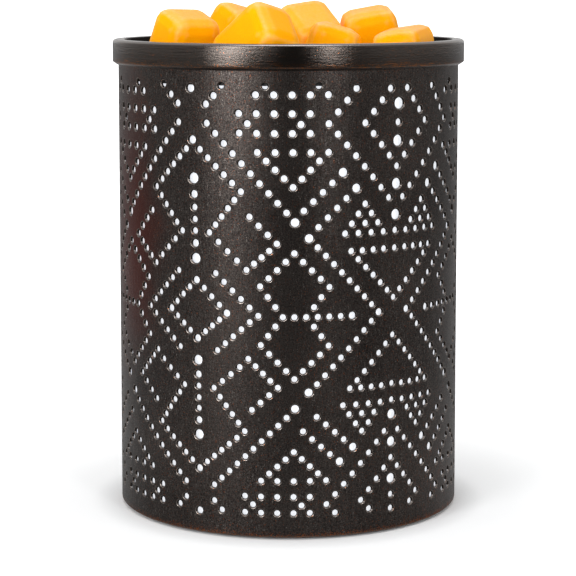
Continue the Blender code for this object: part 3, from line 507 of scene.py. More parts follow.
def make_band(name, node, wall, material, slot):
    """A plain round band of the node's height and outer radius, with softened edges."""
    low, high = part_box(node)
    edge = wall * BAND_EDGE_SHARE
    outline = rounded(
        [
            (high.x - wall, (low.z + high.z) / 2, 0),
            (high.x - wall, low.z, edge),
            (high.x, low.z, edge),
            (high.x, high.z, edge),
            (high.x - wall, high.z, edge),
            (high.x - wall, (low.z + high.z) / 2 + edge, 0),
        ],
        3,
    )
    stands_for(turned(name, outline, material), "housing", slot, node)


make_band("white_sleeve", "diffuser_liner", SLEEVE_WALL, lit_film, "frosted_sleeve")
make_band("sleeve_ring", "top_ring", RING_WALL, black_paint, "black_steel")


# Shell. A flat steel blank is punched with round dots in a few sizes, rolled into a tube and
# spot-welded along a seam at the back. It is plated bronze, darkened, and rubbed to copper at its
# edges.
BODY_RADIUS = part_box("shell")[1].x
SHELL_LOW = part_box("shell")[0].z
SHELL_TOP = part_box("shell")[1].z
SHELL_SHEET = 0.0008
VISIBLE_HEIGHT = 0.1551
PUNCHED_EDGE = 0.00052
LIP = 0.00028
LIP_SHARE = 0.70
BEVEL_SLOPE = 0.40
FOLD_FACING = 3
LIT_SIDE_LEVEL = -0.20
LOW_DOT_SHARE = 0.85
LOW_DOTS_UP_TO = 0.40
FULL_DOTS_FROM = 0.92
DOT_GROWTH_POWER = 1.3
COVERED_DOT = 0.00098
SMALL_DOT = 0.00116
MEDIUM_DOT = 0.00138
LARGE_DOT = 0.00155
BIG_DOT = 0.00188
SMALL_SIDES = 16
BIG_SIDES = 20
WEB = 0.00060
LEAST_WEB = 0.00012
MESH_STEP = 0.0042
HOLE_MARGIN = 0.0010
SEAM_ANGLE = math.radians(182.7)
SEAM_DEPTH = 0.00012
SEAM_HALF_WIDTH = 0.00035
GLAND_ANGLE = math.radians(174)
GLAND_HEIGHT = 0.0160
GLAND_HOLE = 0.0052

# The design of one panel, as shares of its width and of the visible height. A row is the place of
# its first and last dot and how many it has. Panels stand side by side, each the mirror image of
# its neighbour, and grow a little towards the top. The ring inside half covers three of the dots.
PANELS = 5
PANEL_WIDTH_SHARE = 0.181
PANEL_CENTRE_ANGLE = math.radians(2.7)
WIDTH_GROWTH_SHARE = 0.095
HEIGHT_GROWTH_SHARE = 0.080
ROW_SHARES = [
    (0.315, 0.954, 0.641, 0.954, 5), (0.236, 0.917, 0.559, 0.917, 5), (0.236, 0.878, 0.560, 0.878, 5),
    (0.319, 0.840, 0.645, 0.840, 5), (0.359, 0.823, 0.482, 0.770, 4), (0.523, 0.787, 0.603, 0.823, 3),
    (0.117, 0.951, 0.077, 0.934, 2), (0.078, 0.896, 0.452, 0.718, 10), (0.532, 0.722, 0.665, 0.778, 4),
    (0.773, 0.966, 0.645, 0.897, 4), (0.688, 0.876, 0.958, 0.743, 7), (0.950, 0.964, 0.821, 0.897, 4),
    (0.865, 0.875, 1.000, 0.807, 4), (0.734, 0.746, 0.601, 0.688, 4), (0.598, 0.646, 0.875, 0.520, 8),
    (0.875, 0.484, 0.598, 0.352, 8), (0.597, 0.279, 0.734, 0.225, 4), (0.530, 0.247, 0.664, 0.193, 4),
    (0.488, 0.634, 0.325, 0.564, 5), (0.361, 0.542, 0.433, 0.499, 3), (0.529, 0.616, 0.656, 0.562, 4),
    (0.617, 0.541, 0.582, 0.520, 2), (0.488, 0.499, 0.713, 0.499, 5), (0.582, 0.478, 0.654, 0.436, 3),
    (0.612, 0.417, 0.488, 0.364, 4), (0.397, 0.479, 0.326, 0.438, 3), (0.366, 0.419, 0.448, 0.382, 3),
    (0.450, 0.278, 0.082, 0.116, 10), (0.082, 0.079, 0.123, 0.059, 2), (0.278, 0.709, 0.406, 0.654, 4),
    (0.370, 0.639, 0.260, 0.598, 4), (0.214, 0.617, 0.076, 0.673, 4), (0.109, 0.690, 0.239, 0.760, 5),
    (0.197, 0.777, 0.038, 0.843, 5), (0.105, 0.588, 0.315, 0.501, 6), (0.273, 0.487, 0.107, 0.422, 5),
    (0.041, 0.555, 0.121, 0.521, 3), (0.120, 0.489, 0.043, 0.461, 3), (0.280, 0.294, 0.408, 0.345, 4),
    (0.371, 0.360, 0.264, 0.407, 4), (0.221, 0.388, 0.085, 0.338, 4), (0.117, 0.319, 0.243, 0.245, 5),
    (0.203, 0.229, 0.043, 0.168, 5), (0.730, 0.673, 0.932, 0.673, 4), (0.763, 0.693, 0.900, 0.693, 3),
    (0.796, 0.713, 0.864, 0.713, 2), (0.762, 0.636, 0.936, 0.637, 4), (0.799, 0.618, 0.962, 0.548, 5),
    (0.959, 0.431, 0.802, 0.356, 5), (0.764, 0.339, 0.938, 0.339, 4), (0.729, 0.302, 0.932, 0.302, 4),
    (0.761, 0.281, 0.897, 0.281, 3), (0.796, 0.259, 0.866, 0.259, 2), (0.958, 0.234, 0.647, 0.077, 8),
    (0.958, 0.149, 0.827, 0.080, 4), (0.485, 0.200, 0.364, 0.150, 4), (0.524, 0.184, 0.604, 0.150, 3),
    (0.324, 0.133, 0.645, 0.133, 5), (0.243, 0.096, 0.564, 0.096, 5), (0.243, 0.058, 0.564, 0.058, 5),
]
SINGLE_SHARES = [
    (0.275, 0.897), (0.518, 0.896), (0.830, 0.733), (0.830, 0.241), (0.691, 0.056), (0.871, 0.058),
    (0.283, 0.077), (0.523, 0.076),
]
COVERED_SHARES = [(0.358, 0.971), (0.597, 0.9715), (0.157, 0.971)]
MEDIUM_SHARES = [(0.915, 0.502), (0.771, 0.499), (0.159, 0.504)]
LARGE_SHARES = [
    (0.491, 0.698), (0.715, 0.799), (0.782, 0.766), (0.557, 0.665), (0.557, 0.334), (0.782, 0.206),
    (0.713, 0.175), (0.491, 0.298),
]
LEFT_AXIS_SHARES = {
    SMALL_DOT: [0.724, 0.699, 0.675, 0.339, 0.313, 0.289],
    MEDIUM_DOT: [0.965, 0.862, 0.751, 0.649, 0.571, 0.445, 0.365, 0.262, 0.151, 0.051],
    BIG_DOT: [0.784, 0.617, 0.397, 0.229],
}
RIGHT_AXIS_SHARES = {
    SMALL_DOT: [0.896, 0.674, 0.637, 0.531, 0.449, 0.341, 0.304, 0.171, 0.084, 0.051],
    BIG_DOT: [0.934, 0.859, 0.771, 0.707, 0.271, 0.208, 0.122],
}


def on_sheet(across, up):
    """Shares of a panel's width and height as a place on the flat sheet, front middle at 0."""
    height = VISIBLE_HEIGHT * up * (1 - HEIGHT_GROWTH_SHARE + HEIGHT_GROWTH_SHARE * up)
    width = math.tau * BODY_RADIUS * PANEL_WIDTH_SHARE
    width *= 1 + WIDTH_GROWTH_SHARE * (height / VISIBLE_HEIGHT) ** 2
    return Vector((BODY_RADIUS * PANEL_CENTRE_ANGLE + (across - 0.5) * width, height))


def sized(place, radius):
    """A dot at a place on the sheet. The lower half is punched with slightly smaller dots."""
    up = (place.y / VISIBLE_HEIGHT - LOW_DOTS_UP_TO) / (FULL_DOTS_FROM - LOW_DOTS_UP_TO)
    return place, radius * (LOW_DOT_SHARE + (1 - LOW_DOT_SHARE) * min(max(up, 0), 1) ** DOT_GROWTH_POWER)


def punched_dots():
    """Centre and radius of every dot on the flat sheet, with a web of metal between any two."""
    singles = (
        (COVERED_DOT, COVERED_SHARES), (SMALL_DOT, SINGLE_SHARES),
        (MEDIUM_DOT, MEDIUM_SHARES), (LARGE_DOT, LARGE_SHARES),
    )
    panel_dots = [(place, radius) for radius, places in singles for place in places]
    for *ends, count in ROW_SHARES:
        start, end = Vector(ends[:2]), Vector(ends[2:])
        panel_dots += [(start.lerp(end, index / (count - 1)), SMALL_DOT) for index in range(count)]
    dots = []
    first = -(PANELS // 2)
    for panel in range(first, first + PANELS):
        for (across, up), radius in panel_dots:
            if panel % 2 == 1:
                across = 1 - across
            dots.append(sized(on_sheet(panel + across, up), radius))
    for line in range(first, first + PANELS + 1):
        shares = LEFT_AXIS_SHARES if line % 2 == 0 else RIGHT_AXIS_SHARES
        for radius, heights in shares.items():
            dots += [sized(on_sheet(line, up), radius) for up in heights]
    apart = []
    for centre, radius in dots:
        near = [(other, reach) for other, reach in apart if (centre - other).length < 3 * BIG_DOT]
        if any((centre - other).length < radius for other, reach in near):
            continue
        for other, reach in near:
            gap = centre - other
            push = gap.normalized() * max(radius + reach + WEB - gap.length, 0) / 2
            centre += push
            other -= push
        apart.append((centre, radius))
    return apart


def rolled_edge(dot, dots, directions):
    """How far a dot's edge is rounded in each direction. Between two dots they share the metal."""
    centre, radius = dot
    near = [
        (other - centre, reach + LEAST_WEB) for other, reach in dots
        if other is not centre and (other - centre).length < radius + reach + 2 * PUNCHED_EDGE + LEAST_WEB
    ]
    edges = []
    for direction in directions:
        edge = PUNCHED_EDGE
        for gap, reach in near:
            ahead = direction.dot(gap)
            closing = 2 * (ahead + reach - radius)
            if closing > 0:
                room = gap.length_squared + radius ** 2 - 2 * radius * ahead - reach ** 2
                edge = min(edge, room / closing)
        edges.append(edge)
    return edges


def ring(radius, sides):
    """Directions round a dot, from its right-hand side."""
    return [
        Vector((math.cos(math.tau * side / sides), math.sin(math.tau * side / sides))) * radius
        for side in range(sides)
    ]


def rolled(place, depth=0.0):
    """A place on the flat sheet, rolled into the tube at a depth under its outer skin."""
    turn = place.x / BODY_RADIUS
    radius = BODY_RADIUS - depth
    return Vector((radius * math.sin(turn), -radius * math.cos(turn), SHELL_LOW + place.y))


def rolled_direction(place, direction, outward):
    """A direction on the sheet plus a share that points out of it, once rolled."""
    turn = place.x / BODY_RADIUS
    along = Vector((math.cos(turn), math.sin(turn), 0))
    out = Vector((math.sin(turn), -math.cos(turn), 0))
    return (along * direction.x + Vector((0, 0, direction.y)) + out * outward).normalized()


def sheet_grid(dots, start, length, height):
    """Places of a grid over the sheet, clear of the holes, with its left and right ends alike."""
    columns = round(length / MESH_STEP)
    rows = round(height / MESH_STEP)
    seam = [start, start + SEAM_HALF_WIDTH, start + length - SEAM_HALF_WIDTH, start + length]
    cells = {}
    for centre, radius in dots:
        cells.setdefault(round(centre.x / MESH_STEP), []).append((centre, radius))
    places = []
    for across in seam + [start + length * column / columns for column in range(1, columns)]:
        near = [dot for cell in (-1, 0, 1) for dot in cells.get(round(across / MESH_STEP) + cell, [])]
        for row in range(rows + 1):
            place = Vector((across, height * row / rows))
            if all((place - centre).length > radius + HOLE_MARGIN for centre, radius in near):
                places.append(place)
    return places


def make_shell(*finishes):
    """Punch, triangulate and roll the sheet: two skins, and a rounded wall in each hole."""
    height = SHELL_TOP - SHELL_LOW
    length = math.tau * BODY_RADIUS
    start = BODY_RADIUS * SEAM_ANGLE - length
    gland = (Vector((BODY_RADIUS * GLAND_ANGLE, GLAND_HEIGHT - SHELL_LOW)), GLAND_HOLE)
    dots = punched_dots() + [gland]
    bronze, rubbed, raw_shaded, bare_lit = 0, 1, 2, 3
    points = sheet_grid(dots, start, length, height)
    rings = []
    for dot in dots:
        centre, radius = dot
        directions = ring(1, SMALL_SIDES if radius < LARGE_DOT else BIG_SIDES)
        edges = rolled_edge(dot, dots, directions)
        members = list(range(len(points), len(points) + len(directions)))
        rings.append((centre, radius, directions, edges, members))
        points += [centre + direction * (radius + edge) for direction, edge in zip(directions, edges)]
    holes = [members for *_, members in rings]
    places, _, faces, origins, _, sources = delaunay_2d_cdt(points, [], holes, 0, TOUCHING)
    partner = {}
    for index, place in enumerate(places):
        if abs(place.x - start - length) < TOUCHING:
            partner[index] = min(
                (other for other, origin in enumerate(places) if abs(origin.x - start) < TOUCHING),
                key=lambda other: abs(places[other].y - place.y),
            )
    skin = [
        tuple(partner.get(corner, corner) for corner in face)
        for face, source in zip(faces, sources) if not source
    ]
    found = {source: index for index, sources_of in enumerate(origins) for source in sources_of}

    corners = []
    polygons = []
    materials = []
    normals = []

    def corner(place, depth):
        corners.append(rolled(place, depth))
        return len(corners) - 1

    def polygon(members, directions, material=bronze):
        polygons.append(members)
        materials.append(material)
        normals.extend(directions)

    flat = Vector((0, 0))
    outer = {}
    inner = {}
    for index in {member for face in skin for member in face}:
        place = places[index]
        at_seam = abs(place.x - start) < TOUCHING or abs(place.x - start - length) < TOUCHING
        raised = Vector((place.x, max(place.y, PUNCHED_EDGE)))
        outer[index] = corner(raised, SEAM_DEPTH if at_seam else 0)
        inner[index] = corner(place, SHELL_SHEET)
    walls = []
    for centre, radius, directions, edges, members in rings:
        middle = []
        lip = []
        for direction, edge, member in zip(directions, edges, members):
            width = min(LIP, edge * LIP_SHARE)
            dip = (edge - width) * BEVEL_SLOPE
            middle.append(corner(centre + direction * (radius + width), dip))
            lip.append(corner(centre + direction * radius, dip + width))
            corners[inner[found[member]]] = rolled(centre + direction * radius, SHELL_SHEET)
        walls.append((centre, directions, members, middle, lip))
    for face in skin:
        polygon(
            [outer[member] for member in face],
            [rolled_direction(places[member], flat, 1) for member in face],
        )
        back = face[::-1]
        polygon(
            [inner[member] for member in back],
            [rolled_direction(places[member], flat, -1) for member in back],
        )
    for centre, directions, members, middle, lip in walls:
        edge = [outer[found[member]] for member in members]
        far = [inner[found[member]] for member in members]
        # Round each hole the upper side takes the dark raw finish as painted shade, and the lower wall the
        # light bare finish as painted light. The outer bevel is rubbed all round.
        bands = [
            (edge, middle, 0.1, 1, 0.7, 1, rubbed, rubbed),
            (middle, lip, 0.8, 1, 1, 0.1, rubbed, raw_shaded),
            (lip, far, 1, 0, 1, -0.3, bare_lit, raw_shaded),
        ]
        for high, low, high_in, high_out, low_in, low_out, below, above in bands:
            for side in range(len(members)):
                after = (side + 1) % len(members)
                material = below if directions[side].y + directions[after].y < 2 * LIT_SIDE_LEVEL else above
                polygon(
                    [high[side], high[after], low[after], low[side]],
                    [
                        rolled_direction(centre, -directions[side] * high_in, high_out),
                        rolled_direction(centre, -directions[after] * high_in, high_out),
                        rolled_direction(centre, -directions[after] * low_in, low_out),
                        rolled_direction(centre, -directions[side] * low_in, low_out),
                    ],
                    material,
                )
    for level, depth in ((0, PUNCHED_EDGE), (height, 0)):
        border = [index for index in outer if abs(places[index].y - level) < TOUCHING]
        border.sort(key=lambda index: places[index].x)
        if level == 0:
            folded = {index: corner(places[index], depth) for index in border}
        else:
            folded = {index: outer[index] for index in border}
        down = Vector((0, -1 if level == 0 else 1))
        for first, second in zip(border, border[1:] + border[:1]):
            pairs = [(folded, inner, 0, bronze)]
            if level == 0:
                pairs.append((outer, folded, FOLD_FACING, rubbed))
            for upper, lower, outward, material in pairs:
                loop = [upper[second], upper[first], lower[first], lower[second]]
                polygon(
                    loop if level == 0 else loop[::-1],
                    [rolled_direction(places[second], down, outward)] * 4,
                    material,
                )
    mesh = bpy.data.meshes.new("punched_shell")
    mesh.from_pydata(corners, [], polygons)
    for made_of in finishes:
        mesh.materials.append(made_of)
    mesh.polygons.foreach_set("material_index", materials)
    mesh.shade_smooth()
    mesh.normals_split_custom_set([tuple(normal) for normal in normals])
    shell = bpy.data.objects.new("punched_shell", mesh)
    bpy.context.scene.collection.objects.link(shell)
    stands_for(shell, "housing", "oil_rubbed_bronze", "shell")


RED_PATCH_SQUASH = (1.0, 1.0, 0.5)
RUBBED_SPAN = (0.74, 0.92)
SPECK_SPAN = (0.70, 0.76)
SCRATCH_SPAN = (0.42, 0.34)
TONE_SPAN = (0.72, 1.26)


def make_patina_group():
    """Dark, scratched plating, rubbed through to copper in streaks and specks, most along two edges."""
    tree, given, wanted = group(
        "rubbed_plating",
        {"Dark": (0.02, 0.02, 0.02, 1.0), "Light": (0.05, 0.045, 0.04, 1.0),
         "Copper": (0.3, 0.1, 0.04, 1.0), "Scratch": (0.3, 0.27, 0.25, 1.0),
         "Stretch": (900.0, 900.0, 60.0), "Streaks": 0.5, "Specks": 0.0, "Rub": 0.0,
         "Low Edge": 0.0, "High Edge": 1.0, "Edge Reach": 0.01, "Smooth": 0.3, "Rough": 0.5,
         "Red Patch": (0.08, 0.03, 0.02, 1.0), "Red Patch Place": (0.0, 0.0, 0.0), "Red Patch Reach": 0.01},
        {"Color": "NodeSocketColor", "Roughness": "NodeSocketFloat", "Height": "NodeSocketFloat"},
    )

    place = add(tree, "TexCoord").outputs["Object"]
    height = add(tree, "SeparateXYZ", {0: place}).outputs["Z"]
    stretched = add(tree, "VectorMath", {0: place, 1: given["Stretch"]}, operation="MULTIPLY").outputs[0]
    streak = add(tree, "TexNoise", {"Vector": stretched, "Scale": 1.0, "Detail": 5.0, "Roughness": 0.65})
    thin = add(tree, "TexNoise", {"Vector": stretched, "Scale": 2.7, "Detail": 3.0, "Roughness": 0.6})
    patch = add(tree, "TexNoise", {"Vector": place, "Scale": 26.0, "Detail": 4.0, "Roughness": 0.55})
    speck = add(tree, "TexNoise", {"Vector": place, "Scale": 1900.0, "Detail": 2.0, "Roughness": 0.7})
    grit = add(tree, "TexNoise", {"Vector": place, "Scale": 2600.0, "Detail": 1.0})

    low_reach = add(tree, "Math", {0: given["Low Edge"], 1: given["Edge Reach"]}).outputs[0]
    high_reach = add(tree, "Math", {0: given["High Edge"], 1: given["Edge Reach"]}, operation="SUBTRACT")
    near_low = ramp(tree, height, (given["Low Edge"], low_reach), (1.0, 0.0))
    near_high = ramp(tree, height, (high_reach.outputs[0], given["High Edge"]))
    edge = add(tree, "Math", {0: near_low, 1: near_high}, operation="MAXIMUM").outputs[0]

    worn = sum_of(tree, given["Rub"], thin.outputs["Fac"], 0.62)
    worn = sum_of(tree, worn, speck.outputs["Fac"], 0.34)
    worn = sum_of(tree, worn, patch.outputs["Fac"], 0.30)
    worn = sum_of(tree, worn, edge, 0.13)
    rubbed_share = ramp(tree, worn, RUBBED_SPAN)
    dotted = sum_of(tree, given["Specks"], grit.outputs["Fac"], 1.0)
    dotted = sum_of(tree, dotted, edge, 0.14)
    speck_share = ramp(tree, dotted, SPECK_SPAN)
    copper_share = add(tree, "Math", {0: rubbed_share, 1: speck_share}, operation="MAXIMUM").outputs[0]
    # A reddish patch is painted round a given place, taller than it is wide, its reach varied by the patch
    # noise.
    offset = add(tree, "VectorMath", {0: place, 1: given["Red Patch Place"]}, operation="SUBTRACT")
    squashed = add(tree, "VectorMath", {0: offset.outputs[0], 1: RED_PATCH_SQUASH}, operation="MULTIPLY")
    apart = add(tree, "VectorMath", {0: squashed.outputs[0]}, operation="LENGTH").outputs["Value"]
    red_patch_reach = sum_of(tree, 0.0, patch.outputs["Fac"], given["Red Patch Reach"])
    red_patch_share = ramp(tree, apart, (red_patch_reach, 0.0))

    tone = sum_of(tree, 0.0, streak.outputs["Fac"], given["Streaks"])
    tone = sum_of(tree, tone, patch.outputs["Fac"], 0.5)
    tone = sum_of(tree, tone, speck.outputs["Fac"], 1.2)
    tone_share = ramp(tree, tone, TONE_SPAN)
    scratch = sum_of(tree, 0.0, thin.outputs["Fac"], 0.5)
    scratch = sum_of(tree, scratch, grit.outputs["Fac"], 0.5)
    colour = mixed(tree, tone_share, given["Dark"], given["Light"])
    colour = mixed(tree, ramp(tree, scratch, SCRATCH_SPAN), colour, given["Scratch"])
    colour = mixed(tree, red_patch_share, colour, given["Red Patch"])
    colour = mixed(tree, copper_share, colour, given["Copper"])
    tree.links.new(colour, wanted["Color"])
    tree.links.new(mixed(tree, tone_share, given["Rough"], given["Smooth"], "FLOAT"), wanted["Roughness"])
    tree.links.new(sum_of(tree, streak.outputs["Fac"], speck.outputs["Fac"], 1.0), wanted["Height"])
    return tree


rubbed_plating = make_patina_group()
shell_bronze = finish(
    "oil_rubbed_bronze", rubbed_plating,
    {
        "Dark": (0.022, 0.0186, 0.0174, 1.0), "Light": (0.094, 0.080, 0.073, 1.0),
        "Copper": (0.34, 0.100, 0.035, 1.0), "Stretch": (1100.0, 1100.0, 130.0), "Streaks": 0.32,
        "Rub": 0.012, "Low Edge": SHELL_LOW, "High Edge": SHELL_LOW + VISIBLE_HEIGHT + 0.002,
        "Edge Reach": 0.003, "Scratch": (0.21, 0.187, 0.172, 1.0),
        # The red patch is painted on the left front of the shell.
        "Smooth": 0.27, "Rough": 0.40, "Specks": 0.01, "Red Patch": (0.110, 0.010, 0.003, 1.0),
        "Red Patch Place": (-0.055, -0.024, 0.097), "Red Patch Reach": 0.060,
    },
    (0.60, 0.00008), {"Metallic": 1.0},
)
# Dark matte cut edge, put only on the upper side of each hole as painted shade.
raw_shaded_edge = grained(
    "shaded_cut_edge", (0.014, 0.012, 0.011), (0.026, 0.021, 0.018), 0.0003, 0.004, 0.70,
    {"Specular IOR Level": 0.0},
)
rubbed_edge = finish(
    "rubbed_hole_edge", rubbed_plating,
    {
        "Dark": (0.07, 0.060, 0.054, 1.0), "Light": (0.24, 0.210, 0.192, 1.0),
        "Copper": (0.46, 0.17, 0.065, 1.0), "Stretch": (1100.0, 1100.0, 1100.0), "Streaks": 0.42,
        "Rub": -0.02, "Low Edge": SHELL_LOW, "High Edge": SHELL_LOW + VISIBLE_HEIGHT, "Edge Reach": 0.004,
        "Smooth": 0.22, "Rough": 0.30, "Specks": 0.03,
    },
    (0.4, 0.00005), {"Metallic": 1.0},
)
# Light bare steel, put only on the lower wall of each hole as painted light.
bare_lit_edge = finish(
    "bare_lit_hole_edge", rubbed_plating,
    {
        "Dark": (0.12, 0.115, 0.112, 1.0), "Light": (0.38, 0.37, 0.37, 1.0),
        "Copper": (0.42, 0.22, 0.14, 1.0), "Stretch": (1100.0, 1100.0, 1100.0), "Streaks": 0.42,
        "Rub": -0.06, "Smooth": 0.26, "Rough": 0.38, "Specks": -0.02,
    },
    (0.3, 0.00005), {"Metallic": 1.0},
)
make_shell(shell_bronze, rubbed_edge, raw_shaded_edge, bare_lit_edge)


# Cord gland. A moulded rubber grommet is pressed into the shell low at the back, where the mains cord
# would come in. Its flange is rounded and its bore is open.
GLAND_BORE = 0.0035
GLAND_FLANGE = 0.0013
GLAND_LIP_SHARE = 0.1
FLANGE_TAPER_SHARE = 0.94
LIP_CURVE = 0.0004
FLANGE_UNDERCUT = 0.0001
FLANGE_CREASE = 0.0002
FLANGE_ROUND = 0.0008
BORE_ROUND = 0.0005
gland_rubber = grained(
    "gland_rubber", (0.022, 0.022, 0.023), (0.034, 0.034, 0.035), 0.0004, 0.005, 0.68, {}
)


def make_gland():
    out = Vector((math.sin(GLAND_ANGLE), -math.cos(GLAND_ANGLE), 0))
    corners = [vertex.co - Vector((0, 0, GLAND_HEIGHT)) for vertex in nodes["cord_gland"].data.vertices]
    reach = max(corner.dot(out) for corner in corners)
    depth = min(corner.dot(out) for corner in corners)
    flange = max((corner - out * corner.dot(out)).length for corner in corners)
    lip = GLAND_HOLE - (flange - GLAND_HOLE) * GLAND_LIP_SHARE
    shoulder = reach - GLAND_FLANGE
    outline = rounded(
        [
            (GLAND_BORE, depth, 0),
            (lip, depth, LIP_CURVE),
            (lip, shoulder - FLANGE_UNDERCUT, 0),
            (flange, shoulder, FLANGE_CREASE),
            (flange * FLANGE_TAPER_SHARE, reach, FLANGE_ROUND),
            (GLAND_BORE, reach, BORE_ROUND),
            (GLAND_BORE, depth + FLANGE_UNDERCUT, 0),
        ],
        4,
    )
    gland = turned("rubber_gland", outline, gland_rubber, 64)
    gland.rotation_euler = out.to_track_quat("Z", "Y").to_euler()
    gland.location = (0, 0, GLAND_HEIGHT)
    stands_for(gland, "housing", "black_rubber", "cord_gland")


make_gland()


# Dish. One spun steel piece: a shallow bowl, a flat lip and a rim band that hangs over the shell and
# is rolled in at its lower edge. The band is brushed round its girth and rubbed to copper in streaks.
DISH_SHEET = 0.0010
RIM_BAND = 0.0089
RIM_ROUND = 0.0012
LIP_ROUND = 0.0009
LIP_WIDTH = 0.0043
BOWL_DRAFT = 0.0055
BOWL_FILLET = 0.0045
HEM_HEIGHT = 0.0018
HEM_CHAMFER = 0.0011
HEM_ROUND = 0.0002
CHAMFER_ROUND = 0.0007
SKIRT_ROUND = 0.0003
UNDER_LIP_ROUND = 0.0004
WORN_SHARE = 0.6
BLACK_REACH = 0.0002
RUNNING_GAP = 0.0003

dish_bronze = finish(
    "brushed_bronze", rubbed_plating,
    {
        "Dark": (0.012, 0.0096, 0.0086, 1.0), "Light": (0.086, 0.073, 0.065, 1.0),
        "Copper": (0.36, 0.130, 0.040, 1.0), "Stretch": (110.0, 110.0, 1500.0), "Streaks": 0.85,
        "Rub": 0.035, "Low Edge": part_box("wax_dish")[1].z - RIM_BAND,
        "High Edge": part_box("wax_dish")[1].z + 0.01, "Edge Reach": 0.004, "Smooth": 0.16, "Rough": 0.28,
        "Specks": -0.01, "Scratch": (0.13, 0.113, 0.102, 1.0),
    },
    (0.50, 0.00010), {"Metallic": 1.0},
)
worn_lip = finish(
    "worn_bronze_lip", rubbed_plating,
    {
        "Dark": (0.070, 0.060, 0.054, 1.0), "Light": (0.26, 0.235, 0.220, 1.0),
        "Copper": (0.36, 0.13, 0.060, 1.0), "Stretch": (110.0, 110.0, 1500.0), "Streaks": 0.85,
        "Rub": 0.03, "Smooth": 0.20, "Rough": 0.32, "Specks": 0.0,
    },
    (0.40, 0.00010), {"Metallic": 1.0},
)
dish_black = grained(
    "black_bowl_enamel", (0.007, 0.007, 0.007), (0.012, 0.011, 0.011), 0.0005, 0.020, 0.80,
    {"Specular IOR Level": 0.05},
)


def make_dish():
    low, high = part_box("wax_dish")
    rim = high.x
    under_lip = high.z - DISH_SHEET
    band_low = high.z - RIM_BAND
    bowl_top = rim - LIP_WIDTH
    bowl_floor = bowl_top - BOWL_DRAFT
    slope = BOWL_DRAFT / (high.z - low.z - DISH_SHEET)
    under_floor = bowl_floor + DISH_SHEET * (math.hypot(1, slope) - slope)
    hem = BODY_RADIUS + RUNNING_GAP
    skirt = rim - DISH_SHEET
    outline = rounded(
        [
            (0, low.z, 0),
            (under_floor, low.z, BOWL_FILLET + DISH_SHEET),
            (under_floor + (under_lip - low.z) * slope, under_lip, UNDER_LIP_ROUND),
            (skirt, under_lip, SKIRT_ROUND),
            (skirt, band_low + HEM_HEIGHT, HEM_ROUND),
            (hem, band_low + HEM_HEIGHT - (skirt - hem), 0),
            (hem, band_low, HEM_ROUND),
            (rim, band_low + HEM_CHAMFER, CHAMFER_ROUND),
            (rim, high.z, RIM_ROUND),
            (bowl_top, high.z, LIP_ROUND),
            (bowl_floor, low.z + DISH_SHEET, BOWL_FILLET),
            (0, low.z + DISH_SHEET, 0),
        ],
        7,
    )
    dish = turned("brushed_dish", outline, dish_bronze, 192)
    dish.data.materials.append(dish_black)
    dish.data.materials.append(worn_lip)
    for face in dish.data.polygons:
        radius = math.hypot(face.center.x, face.center.y)
        worn = face.center.z > high.z - RIM_ROUND * WORN_SHARE or (
            radius > hem and face.center.z < band_low + HEM_CHAMFER * WORN_SHARE
        )
        face.material_index = 1 if radius < bowl_top + BLACK_REACH else 2 if worn else 0
    stands_for(dish, "dish", "brushed_bronze", "wax_dish")


make_dish()


# Wax melts. Orange wax is cast in a tray of tapered cups, knocked out and piled in the dish. The
# blocks are frosted, a little sunk on their faces, and let some light into their edges. Their edges
# and upturned faces are painted paler and the wax glows faintly, both painted light.
VOXEL = 0.0006
SMOOTH_STEPS = 5
SMOOTH_SHARE = 0.5
FACE_SINK = 0.00005
WAX_WAVE = 0.0130
EDGE_BEND = (0.015, 0.085)
EDGE_BLURS = 4
UPTURNED = (0.5, 1.0)
PAINTED_LIGHT_START = 0.12


def make_wax_group():
    """Cast wax, painted paler along its edges and on upturned faces as painted light."""
    tree, given, wanted = group(
        "cast_wax",
        {"Colour": (0.9, 0.4, 0.01, 1.0), "Second Colour": (0.9, 0.3, 0.01, 1.0),
         "Painted Light": (1.0, 0.6, 0.2, 1.0), "Edge Share": 0.5, "Top Share": 0.5, "Roughness": 0.4},
        {"Color": "NodeSocketColor", "Roughness": "NodeSocketFloat", "Height": "NodeSocketFloat"},
    )
    grain = add(tree, "Group", node_tree=surface_grain)
    for title in ("Colour", "Second Colour", "Roughness"):
        tree.links.new(given[title], grain.inputs[title])
    grain.inputs["Grain Size"].default_value = 0.0007
    grain.inputs["Patch Size"].default_value = 0.0090
    up = add(tree, "SeparateXYZ", {0: add(tree, "NewGeometry").outputs["Normal"]}).outputs["Z"]
    bend = add(tree, "Attribute", attribute_name="bend").outputs["Fac"]
    mottle = add(tree, "TexNoise", {"Vector": add(tree, "TexCoord").outputs["Object"], "Scale": 900.0})
    # Painted light: the edges and upturned faces turn paler, mottled a little by fine noise.
    edge = sum_of(tree, 0.0, bend, given["Edge Share"])
    both = sum_of(tree, edge, ramp(tree, up, UPTURNED), given["Top Share"])
    uneven = add(tree, "Math", {0: mottle.outputs["Fac"], 1: 0.5})
    share = add(
        tree, "Math", {0: both, 1: uneven.outputs[0], 2: -PAINTED_LIGHT_START}, operation="MULTIPLY_ADD",
        use_clamp=True,
    )
    colour = mixed(tree, share.outputs[0], grain.outputs["Color"], given["Painted Light"])
    tree.links.new(colour, wanted["Color"])
    tree.links.new(grain.outputs["Roughness"], wanted["Roughness"])
    tree.links.new(grain.outputs["Height"], wanted["Height"])
    return tree


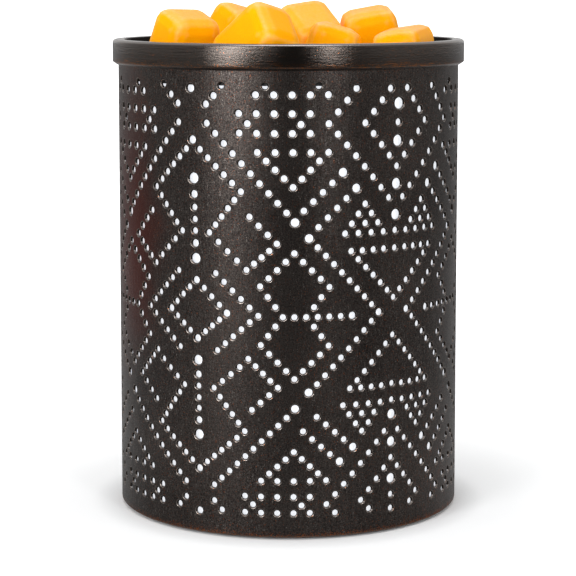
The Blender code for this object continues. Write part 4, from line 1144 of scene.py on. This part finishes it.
wax = finish(
    "amber_wax", make_wax_group(),
    {
        "Colour": (0.91, 0.390, 0.001, 1.0), "Second Colour": (0.89, 0.350, 0.001, 1.0),
        "Painted Light": (0.92, 0.50, 0.20, 1.0), "Edge Share": 0.75, "Top Share": 0.72, "Roughness": 0.34,
    },
    (0.25, 0.00015),
    {
        "Subsurface Weight": 0.25, "Subsurface Radius": (1.0, 0.38, 0.06), "Subsurface Scale": 0.002,
        # The faint emission is painted light: the wax glows in its own colour, standing in for light
        # carried through it, and lifts its shaded faces.
        "Specular IOR Level": 0.04, "Emission Color": (0.95, 0.36, 0.002, 1.0), "Emission Strength": 0.27,
    },
)


def mark_bends(mesh):
    """Store how far the surface bends at each vertex, 0 on flat faces and 1 on rounded edges."""
    shape = bmesh.new()
    shape.from_mesh(mesh)
    bends = []
    for vertex in shape.verts:
        sides = [(vertex.co - edge.other_vert(vertex).co).normalized() for edge in vertex.link_edges]
        bends.append(sum(side.dot(vertex.normal) for side in sides) / len(sides))
    for _ in range(EDGE_BLURS):
        bends = [
            (bend + sum(bends[edge.other_vert(vertex).index] for edge in vertex.link_edges))
            / (1 + len(vertex.link_edges))
            for vertex, bend in zip(shape.verts, bends)
        ]
    shape.free()
    flat, bent = EDGE_BEND
    shares = [min(max((bend - flat) / (bent - flat), 0), 1) for bend in bends]
    mesh.attributes.new("bend", "FLOAT", "POINT").data.foreach_set("value", shares)


def make_melt(index):
    node = nodes[f"wax_melt_{index}"]
    block = bpy.data.objects.new(f"wax_block_{index}", node.data.copy())
    bpy.context.scene.collection.objects.link(block)
    remesh = block.modifiers.new("cast", "REMESH")
    remesh.mode = "VOXEL"
    remesh.voxel_size = VOXEL
    soften = block.modifiers.new("soften", "SMOOTH")
    soften.iterations = SMOOTH_STEPS
    soften.factor = SMOOTH_SHARE
    ready = block.evaluated_get(bpy.context.evaluated_depsgraph_get())
    mesh = bpy.data.meshes.new_from_object(ready)
    block.modifiers.clear()
    block.data = mesh
    mesh.materials.clear()
    mesh.materials.append(wax)
    middle = sum((vertex.co for vertex in mesh.vertices), Vector()) / len(mesh.vertices)
    for vertex in mesh.vertices:
        wave = noise.noise(vertex.co / WAX_WAVE + Vector((index, 0, 0)))
        vertex.co -= (vertex.co - middle).normalized() * FACE_SINK * (1 + wave)
    mark_bends(mesh)
    mesh.shade_smooth()
    stands_for(block, "wax", "amber_wax", node.name)


for index in range(1, 8):
    make_melt(index)
